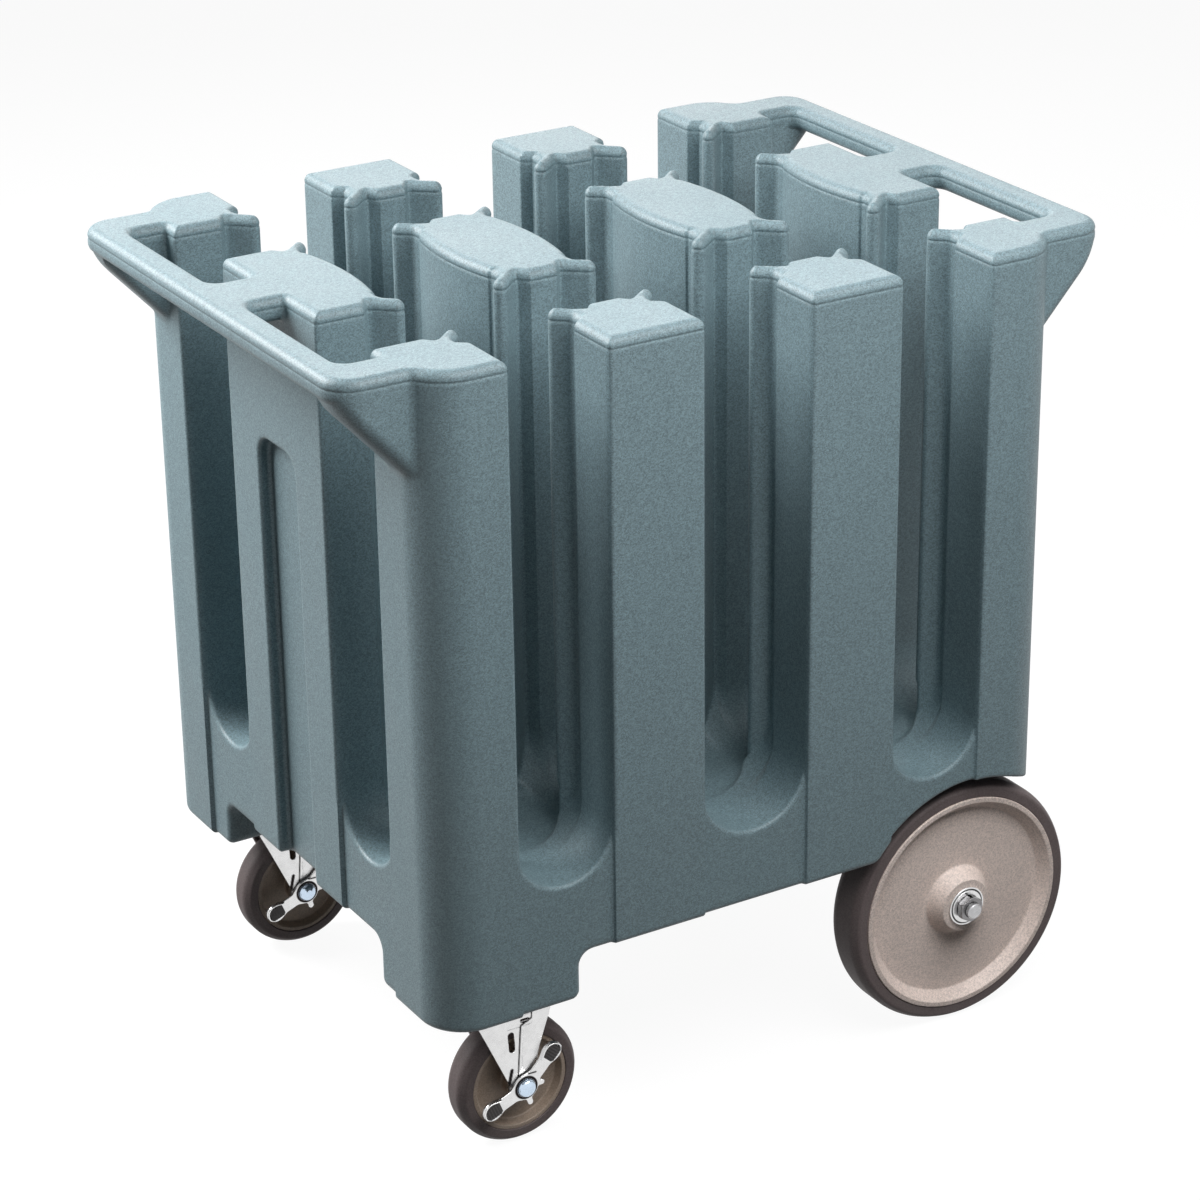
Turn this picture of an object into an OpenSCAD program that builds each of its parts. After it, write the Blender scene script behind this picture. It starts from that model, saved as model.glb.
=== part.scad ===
/* [Body] */
// Length of the body over its end faces, without the handles
body_l = 670; // [640:5:720]
// Width of the body over its side faces
body_w = 576; // [560:4:620]
// Height of the post tops above the floor
body_h = 795; // [720:5:860]
// Height of the body's underside above the floor
base_z = 207; // [203:1:212]
// Height of the well floors above the floor
floor_z = 282; // [276:1:300]
// Radius of the body's outer upright corners
corner_r = 45; // [35:1:50]
// Width of the rounded edge along the post tops
top_round = 9; // [6:0.5:11]
// Depth of the panels under the slots, behind the post faces
panel_depth = 4; // [2:0.5:6]

/* [Slots] */
// Width of the two outer side slots
outer_slot_w = 98; // [90:1:104]
// Width of the middle side slot
mid_slot_w = 112; // [100:1:118]
// Width of an inner post along the length
inner_post_w = 98; // [90:1:104]
// Width of the two end slots
end_slot_w = 100; // [90:1:108]
// Width of the middle row of posts
mid_row_w = 188; // [176:2:200]
// Radius of the flat floor in each well
well_floor_r = 66; // [60:1:67]

/* [Ribs] */
// Thickness of a plate guide rib
rib_w = 13; // [11:0.5:15]
// Length of a rib from the middle of its round tip
rib_l = 36; // [34:1:40]
// Distance of a rib tip's middle from the post's side plane
rib_tip_in = 3; // [1:0.5:5]
// Distance that a rib tip's middle stands past the post's inner plane
rib_tip_out = 1.5; // [0:0.5:3]
// Depth of the notch on both sides of a rib
notch_depth = 10; // [7:0.5:12]
// Length of the notch where it is deep
notch_flat = 27; // [24:1:28]
// Length of the notch in all
notch_l = 35; // [31:1:38]
// Bulge of the middle posts' long sides
barrel = 8; // [5:0.5:10]

/* [End panel] */
// Width of the upright channel in the end panel
channel_w = 74; // [60:2:90]
// Depth of that channel
channel_depth = 12; // [8:1:18]
// Distance of the channel's top below the post tops
channel_drop = 154; // [130:2:200]
// Radius of the channel's upper corners
channel_r = 20; // [12:1:30]

/* [Handles] */
// Reach of each handle past the end face
handle_reach = 68; // [60:1:80]
// Width of the handle bar seen from above
bar_w = 30; // [26:1:34]
// Height of the handle bar
bar_h = 24; // [20:1:28]
// Width of a handle arm seen from above
arm_w = 48; // [40:1:54]
// Half the width of the bridge in the middle of a handle
bridge_half_w = 34; // [28:1:50]
// Radius of the finger gap's outer corners
gap_r = 12; // [8:1:14]
// Radius of the handle's outer corners
handle_r = 28; // [18:1:30]
// Height of the gusset under each arm, from the post top
gusset_h = 98; // [80:1:110]
// Distance that the handle is set in from the body's side
arm_set_in = 26; // [22:1:36]

/* [Front pods] */
// Height of the caster mounting face above the floor
pod_z = 160; // [156:1:170]
// Length of a caster pod along the body
pod_l = 146; // [140:1:156]
// Width of a caster pod across the body
pod_w = 128; // [118:1:140]
// Size of the pod's sloped lower edges
pod_edge = 12; // [8:1:16]

/* [Rear wheels] */
// Thickness of a rear tyre, from the rim to the tread
rear_tyre_t = 15; // [12:1:16]
// Width of a rear tyre
rear_w = 44; // [38:1:48]
// Radius of the rear wheel's rim
rear_rim_r = 112; // [106:1:114]
// Distance of the rear axle from the rear end face
rear_axle_in = 85; // [80:1:92]
// Distance of the rear wheel's middle plane from the body's side
rear_wheel_in = 36; // [34:1:40]
// Gap between the rear tyre and its arch
arch_gap = 11; // [9:0.5:14]
// Diameter of the rear axle
axle_d = 16; // [14:0.5:18]
// Radius of the axle housing under the body
housing_r = 29; // [25:1:32]

/* [Casters] */
// Thickness of a caster tyre, from the rim to the tread
caster_tyre_t = 14; // [12:0.5:14]
// Width of a caster tyre
caster_w = 32; // [28:1:34]
// Radius of the caster wheel's rim
caster_rim_r = 49.5; // [47:0.5:51]
// Distance of the wheel axle behind the swivel axis
trail = 20; // [14:1:26]
// Distance of the swivel axis from the front end face
swivel_in_x = 83; // [80:1:86]
// Distance of the swivel axis from the side face
swivel_in_y = 63; // [60:1:66]
// Thickness of the fork's steel
fork_t = 3.2; // [2.5:0.1:3.5]
// Length of the caster's mounting plate
plate_l = 92; // [88:1:96]
// Width of the caster's mounting plate
plate_w = 74; // [72:1:78]
// Spacing of the mounting bolts along the plate
bolt_dx = 72; // [70:1:74]
// Spacing of the mounting bolts across the plate
bolt_dy = 54; // [52:1:56]
// Diameter of the caster's axle bolt
caster_bolt_d = 10; // [9:0.5:11]

/* [Brake pedals] */
// Reach of the pedal's upper arm along the length
pedal_up_x = 28; // [24:1:30]
// Reach of the pedal's upper arm in height
pedal_up_z = 30; // [26:1:32]
// Reach of the pedal's lower arm along the length
pedal_low_x = 36; // [32:1:38]
// Reach of the pedal's lower arm in height
pedal_low_z = 14; // [10:1:18]
// Thickness of the pedal's steel
pedal_t = 2.5; // [2:0.1:3]

/* [Hidden] */
$fn = 64;

// Overrun of a cut past the face that it opens
over = 1;
// Radial clearance of a running fit, and end float of a wheel
fit = 0.05;
float_gap = 0.5;

// Outer radius of the rear tyres and of the caster tyres
rear_r = rear_rim_r + rear_tyre_t;
caster_r = caster_rim_r + caster_tyre_t;

// Places of the slots, posts and wells
half_l = body_l / 2;
half_w = body_w / 2;
outer_slot_x = mid_slot_w / 2 + inner_post_w + outer_slot_w / 2;
end_slot_y = mid_row_w / 2 + end_slot_w / 2;
well_xs = [-outer_slot_x, 0, outer_slot_x];
well_slot_ws = [outer_slot_w, mid_slot_w, outer_slot_w];
well_ys = [-end_slot_y, end_slot_y];
side_signs = [-1, 1];

// The rounded top edge as three flats, in shares of its width
round_in_share = 0.14;
round_mid_share = 0.48;
arc_fn = 96;

// Top edge profile of a block from a to b, whose foot is at z0
function block_points(a, b, z0) = [
    [a, z0], [b, z0],
    [b, body_h - top_round],
    [b - top_round * round_in_share, body_h - top_round * round_mid_share],
    [b - top_round * round_mid_share, body_h - top_round * round_in_share],
    [b - top_round, body_h],
    [a + top_round, body_h],
    [a + top_round * round_mid_share, body_h - top_round * round_in_share],
    [a + top_round * round_in_share, body_h - top_round * round_mid_share],
    [a, body_h - top_round]
];

// A slot with a half-round bottom and a flared mouth, in the plane of its face
module slot_face(w) {
    h = w / 2;
    translate([0, floor_z + h]) circle(h, $fn = arc_fn);
    translate([-h, floor_z + h]) square([w, body_h + over - floor_z - h]);
    polygon([
        [-h, body_h - top_round],
        [h, body_h - top_round],
        [h + top_round * round_in_share, body_h - top_round * round_mid_share],
        [h + top_round * round_mid_share, body_h - top_round * round_in_share],
        [h + top_round, body_h],
        [h + top_round, body_h + over],
        [-h - top_round, body_h + over],
        [-h - top_round, body_h],
        [-h - top_round * round_mid_share, body_h - top_round * round_in_share],
        [-h - top_round * round_in_share, body_h - top_round * round_mid_share]
    ]);
}

module along_y(width) {
    rotate([90, 0, 0]) linear_extrude(width, center = true) children();
}

module along_x(length) {
    rotate([90, 0, 90]) linear_extrude(length, center = true) children();
}

// Side view of the body: four columns of posts on the base
module column_face() {
    difference() {
        polygon(block_points(-half_l, half_l, base_z));
        for (i = [0:len(well_xs) - 1])
            translate([well_xs[i], 0]) slot_face(well_slot_ws[i]);
    }
}

// End view of the body: three rows of posts on the base
module row_face() {
    difference() {
        polygon(block_points(-half_w, half_w, base_z));
        for (y = well_ys)
            translate([y, 0]) slot_face(end_slot_w);
    }
}

module rounded_plan(l, w, r) {
    square([l - 2 * r, w], center = true);
    square([l, w - 2 * r], center = true);
    for (sx = side_signs, sy = side_signs)
        translate([sx * (l / 2 - r), sy * (w / 2 - r)]) circle(r, $fn = arc_fn);
}

// Base and posts before the ribs, notches and cuts
module post_block() {
    intersection() {
        along_y(body_w) column_face();
        along_x(body_l) row_face();
        translate([0, 0, base_z]) linear_extrude(body_h - base_z) rounded_plan(body_l, body_w, corner_r);
    }
}

// One caster pod under a front corner, for the side given by its sign
module pod(sy) {
    x0 = -half_l;
    x1 = -half_l + pod_l;
    y0 = half_w - pod_w;
    top = base_z + pod_edge;
    intersection() {
        along_y(body_w) polygon([
            [x0, pod_z], [x1 - pod_edge, pod_z], [x1, pod_z + pod_edge],
            [x1, base_z - pod_edge], [x1 + pod_edge, base_z], [x1 + pod_edge, top], [x0, top]
        ]);
        along_x(body_l) polygon([
            [sy * half_w, pod_z], [sy * (y0 + pod_edge), pod_z], [sy * y0, pod_z + pod_edge],
            [sy * y0, base_z - pod_edge], [sy * (y0 - pod_edge), base_z],
            [sy * (y0 - pod_edge), top], [sy * half_w, top]
        ]);
        translate([0, 0, pod_z]) linear_extrude(top - pod_z) rounded_plan(body_l, body_w, corner_r);
    }
}

// Plan of the notch beside a rib, drawn for the post corner at the origin
module notch_plan() {
    polygon([
        [-over, -over], [notch_l, -over], [notch_l, 0], [notch_flat, notch_depth],
        [notch_depth, notch_depth], [notch_depth, notch_flat], [0, notch_l], [-over, notch_l]
    ]);
}

// Plan of a rib, whose round tip is at the origin
module rib_plan() {
    circle(rib_w / 2, $fn = arc_fn);
    translate([0, -rib_w / 2]) square([rib_l, rib_w]);
}

// Everything that repeats at the four corners of every well
module at_well_corners() {
    for (i = [0:len(well_xs) - 1], y = well_ys, sx = side_signs, sy = side_signs)
        translate([well_xs[i], y]) scale_signs(sx, sy) {
            $half_slot = well_slot_ws[i] / 2;
            children();
        }
}

module scale_signs(sx, sy) {
    mirror([sx < 0 ? 1 : 0, 0]) mirror([0, sy < 0 ? 1 : 0]) children();
}

module notches() {
    translate([0, 0, floor_z]) linear_extrude(body_h + over - floor_z) at_well_corners()
        translate([$half_slot, end_slot_w / 2]) notch_plan();
}

// Ribs at the well corners, each turned so that it points at the middle of its well
module ribs() {
    foot = floor_z - panel_depth;
    for (i = [0:len(well_xs) - 1], y = well_ys, sx = side_signs, sy = side_signs) {
        tip_x = well_slot_ws[i] / 2 + rib_tip_in;
        tip_y = end_slot_w / 2 - rib_tip_out;
        translate([well_xs[i] + sx * tip_x, y + sy * tip_y, foot])
            rotate(atan2(sy * tip_y, sx * tip_x)) linear_extrude(body_h - foot) rib_plan();
    }
}

// Material taken off a middle post's long side, which leaves it slightly barrelled
module barrel_cut() {
    half_side = mid_row_w / 2 - notch_flat;
    round_r = (half_side * half_side + barrel * barrel) / (2 * barrel);
    difference() {
        translate([-over, -half_side - notch_depth]) square([barrel + over, 2 * (half_side + notch_depth)]);
        translate([round_r, 0]) circle(round_r, $fn = 2 * arc_fn);
    }
}

module barrel_cuts() {
    translate([0, 0, floor_z]) linear_extrude(body_h + over - floor_z)
        for (i = [0:len(well_xs) - 1], s = side_signs)
            translate([well_xs[i] + s * well_slot_ws[i] / 2, 0]) mirror([s < 0 ? 1 : 0, 0]) barrel_cut();
}

// Recessed panels under the slots on the four faces
module panel_cuts() {
    for (i = [0:len(well_xs) - 1], s = side_signs) {
        w = well_slot_ws[i];
        y = s * (half_w - panel_depth / 2 + over / 2);
        h = floor_z + w / 2 - pod_z + over;
        translate([well_xs[i] - w / 2, y - (panel_depth + over) / 2, pod_z - over])
            cube([w, panel_depth + over, h]);
    }
    for (y = well_ys, s = side_signs) {
        x = s * (half_l - panel_depth / 2 + over / 2);
        h = floor_z + end_slot_w / 2 - pod_z + over;
        translate([x - (panel_depth + over) / 2, y - end_slot_w / 2, pod_z - over])
            cube([panel_depth + over, end_slot_w, h]);
    }
}

module channel_cuts() {
    top = body_h - channel_drop;
    for (s = side_signs)
        translate([s * (half_l - channel_depth / 2 + over / 2), 0]) along_x(channel_depth + over) {
            translate([-channel_w / 2, base_z - over]) square([channel_w, top - channel_r - base_z + over]);
            translate([channel_r - channel_w / 2, base_z - over])
                square([channel_w - 2 * channel_r, top - base_z + over]);
            for (q = side_signs)
                translate([q * (channel_w / 2 - channel_r), top - channel_r]) circle(channel_r);
        }
}

hand_half_w = half_w - arm_set_in;

// Plan of one handle arm, for the side given by its sign and the front end
module arm_plan(sy) {
    out_x = -half_l - handle_reach;
    in_x = -half_l + gap_r;
    translate([out_x + handle_r, sy * (hand_half_w - handle_r)]) circle(handle_r);
    polygon([
        [out_x, sy * (hand_half_w - arm_w)], [in_x, sy * (hand_half_w - arm_w)],
        [in_x, sy * hand_half_w], [out_x + handle_r, sy * hand_half_w],
        [out_x + handle_r, sy * (hand_half_w - handle_r)], [out_x, sy * (hand_half_w - handle_r)]
    ]);
}

module gap_corner() {
    difference() {
        translate([-over, -over]) square(gap_r + over);
        translate([gap_r, gap_r]) circle(gap_r);
    }
}

module handle_plan() {
    out_x = -half_l - handle_reach;
    translate([out_x, handle_r - hand_half_w]) square([bar_w, 2 * (hand_half_w - handle_r)]);
    translate([out_x, -bridge_half_w]) square([handle_reach + gap_r, 2 * bridge_half_w]);
    for (s = side_signs) {
        arm_plan(s);
        translate([out_x + bar_w, s * bridge_half_w]) mirror([0, s < 0 ? 1 : 0]) gap_corner();
        translate([out_x + bar_w, s * (hand_half_w - arm_w)]) mirror([0, s > 0 ? 1 : 0]) gap_corner();
    }
}

// The front handle: a bar on two arms and a bridge, with a gusset under each arm
module front_handle() {
    out_x = -half_l - handle_reach;
    low_z = body_h - bar_h;
    edge = top_round * round_mid_share;
    intersection() {
        translate([0, 0, low_z]) linear_extrude(bar_h) handle_plan();
        along_y(body_w) polygon([
            [out_x, body_h - top_round],
            [out_x + top_round * round_in_share, body_h - top_round * round_mid_share],
            [out_x + top_round * round_mid_share, body_h - top_round * round_in_share],
            [out_x + top_round, body_h], [gap_r - half_l, body_h], [gap_r - half_l, low_z],
            [out_x + edge, low_z], [out_x, low_z + edge]
        ]);
        along_x(2 * (half_l + handle_reach)) polygon(block_points(-hand_half_w, hand_half_w, low_z));
    }
    intersection() {
        translate([0, 0, body_h - gusset_h]) linear_extrude(gusset_h - top_round)
            for (s = side_signs) arm_plan(s);
        along_y(body_w) polygon([
            [out_x, low_z], [-half_l, body_h - gusset_h], [gap_r - half_l, body_h - gusset_h],
            [gap_r - half_l, body_h - top_round], [out_x, body_h - top_round]
        ]);
    }
}

// Rear wheel and axle places
rear_x = half_l - rear_axle_in;
rear_y = half_w - rear_wheel_in;
washer_t = 2.5;
arch_side_gap = 8;
arch_y = rear_y - rear_w / 2 - arch_side_gap;
hub_stand = 6;
hub_out = rear_w / 2 + hub_stand;
hub_in = rear_y - arch_y - washer_t - float_gap;
washer_r = 20;
inner_washer_r = 16;
nut_flats = 24;
nut_h = 8;
axle_end = 5;
axle_half = rear_y + hub_out + float_gap + washer_t + nut_h + axle_end;
bearing_r = 13;

module on_rear_axle() {
    translate([rear_x, 0, rear_r]) rotate([90, 0, 0]) children();
}

module axle_housing() {
    along_y(2 * arch_y) {
        translate([rear_x, rear_r]) circle(housing_r);
        translate([rear_x - housing_r, rear_r]) square([2 * housing_r, base_z - rear_r + over]);
    }
}

module wheel_arches() {
    for (s = side_signs)
        translate([rear_x, s * (half_w + over + arch_y) / 2, rear_r]) rotate([90, 0, 0])
            cylinder(h = half_w + over - arch_y, r = rear_r + arch_gap, center = true, $fn = arc_fn);
}

// Caster places, and the inserts moulded into the pods
swivel_x = -half_l + swivel_in_x;
swivel_y = half_w - swivel_in_y;
bolt_d = 8;
insert_d = 14;
insert_h = 26;

module at_bolts() {
    for (sx = side_signs, sy = side_signs)
        translate([sx * bolt_dx / 2, sy * bolt_dy / 2]) children();
}

module insert_pockets() {
    for (s = side_signs)
        translate([swivel_x, s * swivel_y, pod_z - over]) at_bolts()
            cylinder(h = insert_h + over, r = insert_d / 2 + fit);
}

module body_moulding() {
    color("#6f868c") difference() {
        union() {
            difference() {
                union() {
                    post_block();
                    for (s = side_signs) pod(s);
                }
                notches();
                barrel_cuts();
                panel_cuts();
                channel_cuts();
                for (x = well_xs, y = well_ys)
                    translate([x, y, floor_z]) cylinder(h = end_slot_w / 2, r = well_floor_r, $fn = arc_fn);
            }
            ribs();
            axle_housing();
            front_handle();
            mirror([1, 0, 0]) front_handle();
        }
        wheel_arches();
        insert_pockets();
        on_rear_axle() cylinder(h = body_w + 2 * over, r = axle_d / 2 + fit, center = true);
    }
}

module rear_axle() {
    end_chamfer = 1;
    color("#b9bcc0") on_rear_axle() {
        cylinder(h = 2 * (axle_half - end_chamfer), r = axle_d / 2, center = true);
        for (s = side_signs) mirror([0, 0, s < 0 ? 1 : 0])
            translate([0, 0, axle_half - end_chamfer])
                cylinder(h = end_chamfer, r1 = axle_d / 2, r2 = axle_d / 2 - end_chamfer);
    }
}

// The rear wheel's own frame: its axis is up and its outer face on top
module at_rear(side) {
    translate([rear_x, side * rear_y, rear_r]) rotate([side * -90, 0, 0]) children();
}

// Rear tyre section, in shares of its width and thickness
tread_share = 0.55;
shoulder_share = 0.82;
shoulder_drop_share = 0.1;
sidewall_share = 0.35;

module tyre_section(r, rim, w) {
    t = r - rim;
    polygon([
        [rim, -w / 2], [r - t * sidewall_share, -w / 2],
        [r - t * shoulder_drop_share, -w / 2 * shoulder_share], [r, -w / 2 * tread_share],
        [r, w / 2 * tread_share], [r - t * shoulder_drop_share, w / 2 * shoulder_share],
        [r - t * sidewall_share, w / 2], [rim, w / 2]
    ]);
}

module rear_tyre(side) {
    color("#4b4143") at_rear(side)
        rotate_extrude($fn = arc_fn) tyre_section(rear_r, rear_rim_r, rear_w);
}

rear_lip = 1;
lip_w = 5;
rim_slope = 9;
disc_out = 12;
disc_in = 4;
rim_in = 8;
hub_front_r = 27;
hub_foot_r = 36;
hub_back_r = 30;
rear_rib_t = 5;
rear_rib_n = 8;

module rear_wheel(side) {
    lip = rear_w / 2 + rear_lip;
    back = -rear_w / 2 - rear_lip;
    color("#b3a49a") at_rear(side) {
        rotate_extrude($fn = arc_fn) polygon([
            [bearing_r + fit, -hub_in], [hub_back_r, -hub_in], [hub_back_r, disc_in],
            [rear_rim_r - rim_in, disc_in], [rear_rim_r - rim_in, back], [rear_rim_r, back],
            [rear_rim_r, lip], [rear_rim_r - lip_w, lip],
            [rear_rim_r - lip_w - rim_slope, disc_out], [hub_foot_r, disc_out],
            [hub_front_r, hub_out], [bearing_r + fit, hub_out]
        ]);
        difference() {
            for (i = [0:rear_rib_n - 1]) rotate(i * 360 / rear_rib_n)
                translate([hub_back_r - over, -rear_rib_t / 2, back + rim_in])
                    cube([rear_rim_r - rim_in / 2 - hub_back_r, rear_rib_t, disc_in - back - rim_in + over]);
            translate([0, 0, back]) difference() {
                cylinder(h = disc_in - back, r = rear_rim_r + over);
                cylinder(h = disc_in - back, r = rear_rim_r - rim_in / 2);
            }
        }
    }
}

module rear_bearing(side) {
    color("#8d9094") at_rear(side) translate([0, 0, -hub_in]) difference() {
        cylinder(h = hub_in + hub_out, r = bearing_r);
        translate([0, 0, -over]) cylinder(h = hub_in + hub_out + 2 * over, r = axle_d / 2 + fit);
    }
}

module flat_washer(r_out, r_in, t) {
    difference() {
        cylinder(h = t, r = r_out);
        translate([0, 0, -over]) cylinder(h = t + 2 * over, r = r_in);
    }
}

module hex_nut(flats, bore_r, h) {
    difference() {
        cylinder(h = h, r = flats / sqrt(3), $fn = 6);
        translate([0, 0, -over]) cylinder(h = h + 2 * over, r = bore_r);
    }
}

module rear_inner_washer(side) {
    color("#c9ccd0") at_rear(side) translate([0, 0, arch_y - rear_y])
        flat_washer(inner_washer_r, axle_d / 2 + 2 * fit, washer_t);
}

module rear_outer_washer(side) {
    color("#c9ccd0") at_rear(side) translate([0, 0, hub_out + float_gap])
        flat_washer(washer_r, axle_d / 2 + 2 * fit, washer_t);
}

module rear_nut(side) {
    color("#a9adb1") at_rear(side) translate([0, 0, hub_out + float_gap + washer_t])
        hex_nut(nut_flats, axle_d / 2 + fit, nut_h);
}

// Caster stack, from the pod down to the fork
plate_t = 4;
plate_r = 8;
race_r = 28;
ball_r = 3;
ball_ring_r = 22;
ball_n = 18;
ball_gap = 0.15;
race_h = 6;
race_gap = 4;
kingpin_r = 6;
kingpin_head_r = 11;
kingpin_head_h = 5;
rivet_r = 9;
rivet_h = 2.5;
crown_z = pod_z - plate_t - race_h - race_gap;
ball_z = crown_z + race_gap / 2;
crown_r = 33;
leg_in = 20;
leg_out = leg_in + fork_t;

module at_caster(side) {
    translate([swivel_x, side * swivel_y, 0]) children();
}

// The caster wheel's own frame: its axis is up, and down is the pedal side
module at_caster_wheel(side) {
    at_caster(side) translate([trail, 0, caster_r]) rotate([-90, 0, 0]) children();
}

module caster_plate(side) {
    color("#c6c9cc") at_caster(side) difference() {
        union() {
            translate([0, 0, pod_z - plate_t]) linear_extrude(plate_t) rounded_plan(plate_l, plate_w, plate_r);
            translate([0, 0, crown_z + race_gap]) cylinder(h = race_h + over, r = race_r);
        }
        translate([0, 0, crown_z]) cylinder(h = pod_z + over - crown_z, r = kingpin_r + fit);
        translate([0, 0, pod_z - rivet_h]) cylinder(h = rivet_h + over, r = rivet_r + fit);
        translate([0, 0, ball_z]) rotate_extrude() translate([ball_ring_r, 0]) circle(ball_r + ball_gap);
        translate([0, 0, pod_z - plate_t - over]) at_bolts()
            cylinder(h = plate_t + 2 * over, r = bolt_d / 2 + 2 * fit);
    }
}

bolt_head_h = 5;
bolt_flats = 13;
bolt_l = 22;

module mount_bolts(side) {
    color("#b9bcc0") at_caster(side) translate([0, 0, pod_z - plate_t]) at_bolts() {
        translate([0, 0, -bolt_head_h]) cylinder(h = bolt_head_h, r = bolt_flats / sqrt(3), $fn = 6);
        cylinder(h = plate_t + bolt_l, r = bolt_d / 2);
    }
}

module inserts(side) {
    color("#c9a55a") at_caster(side) translate([0, 0, pod_z]) at_bolts() difference() {
        cylinder(h = insert_h, r = insert_d / 2);
        translate([0, 0, -over]) cylinder(h = insert_h - over, r = bolt_d / 2 + fit);
    }
}

module kingpin(side) {
    color("#a9adb1") at_caster(side) {
        translate([0, 0, crown_z - fork_t - float_gap - kingpin_head_h])
            cylinder(h = kingpin_head_h, r = kingpin_head_r);
        translate([0, 0, crown_z - fork_t - float_gap - over])
            cylinder(h = pod_z - crown_z + fork_t + float_gap + over, r = kingpin_r);
        translate([0, 0, pod_z - rivet_h]) cylinder(h = rivet_h, r = rivet_r);
    }
}

module balls(side) {
    color("#dfe2e5") at_caster(side) for (i = [0:ball_n - 1])
        rotate(i * 360 / ball_n) translate([ball_ring_r, 0, ball_z]) sphere(ball_r);
}

// Fork leg outline in the plane of the wheel, from the swivel axis
leg_front_x = 30;
leg_back_x = 52;
leg_axle_r = 13;
leg_waist_share = 0.28;

module leg_face() {
    axle_z = caster_r;
    waist = axle_z + (crown_z - axle_z) * leg_waist_share;
    translate([trail, axle_z]) circle(leg_axle_r);
    polygon([
        [-leg_front_x, crown_z], [trail - leg_axle_r, axle_z], [trail + leg_axle_r, axle_z],
        [trail + leg_axle_r, waist], [leg_back_x, crown_z - fork_t], [leg_back_x, crown_z]
    ]);
}

shoe_pin_r = 2;
shoe_pin_ring = 8.5;

module fork(side) {
    color("#d5d8db") at_caster(side) difference() {
        union() {
            translate([0, 0, crown_z - fork_t]) linear_extrude(fork_t) {
                circle(crown_r);
                translate([-leg_front_x, -leg_out]) square([leg_front_x + leg_back_x, 2 * leg_out]);
            }
            for (s = side_signs)
                translate([0, s * (leg_in + leg_out) / 2, 0]) along_y(fork_t) leg_face();
        }
        translate([0, 0, crown_z - fork_t - over]) cylinder(h = fork_t + 2 * over, r = kingpin_r + fit);
        translate([0, 0, ball_z]) rotate_extrude() translate([ball_ring_r, 0]) circle(ball_r + ball_gap);
        translate([trail, 0, caster_r]) rotate([-90, 0, 0]) {
            cylinder(h = 2 * (leg_out + over), r = caster_bolt_d / 2 + fit, center = true);
            translate([0, 0, -leg_out - over]) for (s = side_signs) translate([s * shoe_pin_ring, 0])
                cylinder(h = fork_t + 2 * over, r = shoe_pin_r + 4 * fit);
        }
    }
}

caster_lip = 15;
caster_lip_w = 4;
caster_slope = 3;
caster_disc = 6;
caster_hub = 17;
caster_hub_r = 15;
bush_r = 7;

module caster_wheel(side) {
    color("#8f7d6a") at_caster_wheel(side) rotate_extrude($fn = arc_fn) polygon([
        [bush_r + fit, -caster_hub], [caster_hub_r, -caster_hub], [caster_hub_r, -caster_disc],
        [caster_rim_r - caster_lip_w - caster_slope, -caster_disc],
        [caster_rim_r - caster_lip_w, -caster_lip], [caster_rim_r, -caster_lip],
        [caster_rim_r, caster_lip], [caster_rim_r - caster_lip_w, caster_lip],
        [caster_rim_r - caster_lip_w - caster_slope, caster_disc],
        [caster_hub_r, caster_disc], [caster_hub_r, caster_hub], [bush_r + fit, caster_hub]
    ]);
}

module caster_tyre(side) {
    color("#4b4143") at_caster_wheel(side)
        rotate_extrude($fn = arc_fn) tyre_section(caster_r, caster_rim_r, caster_w);
}

bush_half = caster_hub;

module bush(side) {
    color("#8d9094") at_caster_wheel(side) translate([0, 0, -bush_half])
        flat_washer(bush_r, caster_bolt_d / 2 + fit, 2 * bush_half);
}

// Axle bolt of a caster, with its head outside the pedal
pedal_gap = 1.6;
pedal_face = leg_out + pedal_gap + pedal_t;
bolt_cap_r = 9;
bolt_cap_h = 6;
caster_nut_flats = 17;
caster_nut_h = 8;

module axle_bolt(side) {
    color("#d5d8db") at_caster_wheel(side) {
        translate([0, 0, -pedal_face - float_gap - bolt_cap_h]) {
            cylinder(h = bolt_cap_h / 2, r1 = bolt_cap_r / 2, r2 = bolt_cap_r);
            translate([0, 0, bolt_cap_h / 2]) cylinder(h = bolt_cap_h / 2, r = bolt_cap_r);
        }
        translate([0, 0, -pedal_face - float_gap - over])
            cylinder(h = pedal_face + leg_out + caster_nut_h + float_gap + 3 * over, r = caster_bolt_d / 2);
    }
}

module caster_nut(side) {
    color("#a9adb1") at_caster_wheel(side) translate([0, 0, leg_out])
        hex_nut(caster_nut_flats, caster_bolt_d / 2 + fit, caster_nut_h);
}

// Rocker pedal on the axle bolt, with a lip to press on at the end of each arm
pedal_hub_r = 13;
pedal_arm_w = 15;
pedal_end_r = 10;
pedal_lip_h = 9;
pedal_ends = [[pedal_up_x, pedal_up_z], [-pedal_low_x, -pedal_low_z]];

module pedal_face_plan() {
    circle(pedal_hub_r);
    for (p = pedal_ends) {
        reach = norm(p);
        rotate(atan2(p[1], p[0])) translate([0, -pedal_arm_w / 2]) square([reach, pedal_arm_w]);
        translate(p) circle(pedal_end_r);
    }
}

module on_pedal(side) {
    at_caster(side) translate([trail, -leg_out - pedal_gap, caster_r]) rotate([90, 0, 0]) children();
}

module pedal(side) {
    color("#d5d8db") on_pedal(side) {
        difference() {
            linear_extrude(pedal_t) pedal_face_plan();
            translate([0, 0, -over]) cylinder(h = pedal_t + 2 * over, r = caster_bolt_d / 2 + fit);
        }
        for (p = pedal_ends)
            rotate(atan2(p[1], p[0])) translate([norm(p) + pedal_end_r - pedal_t - fit, -pedal_arm_w / 3, 0])
                cube([pedal_t, 2 * pedal_arm_w / 3, pedal_t + pedal_lip_h]);
    }
}

pad_l = 13;
pad_w = 11;
pad_h = 2;

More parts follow.
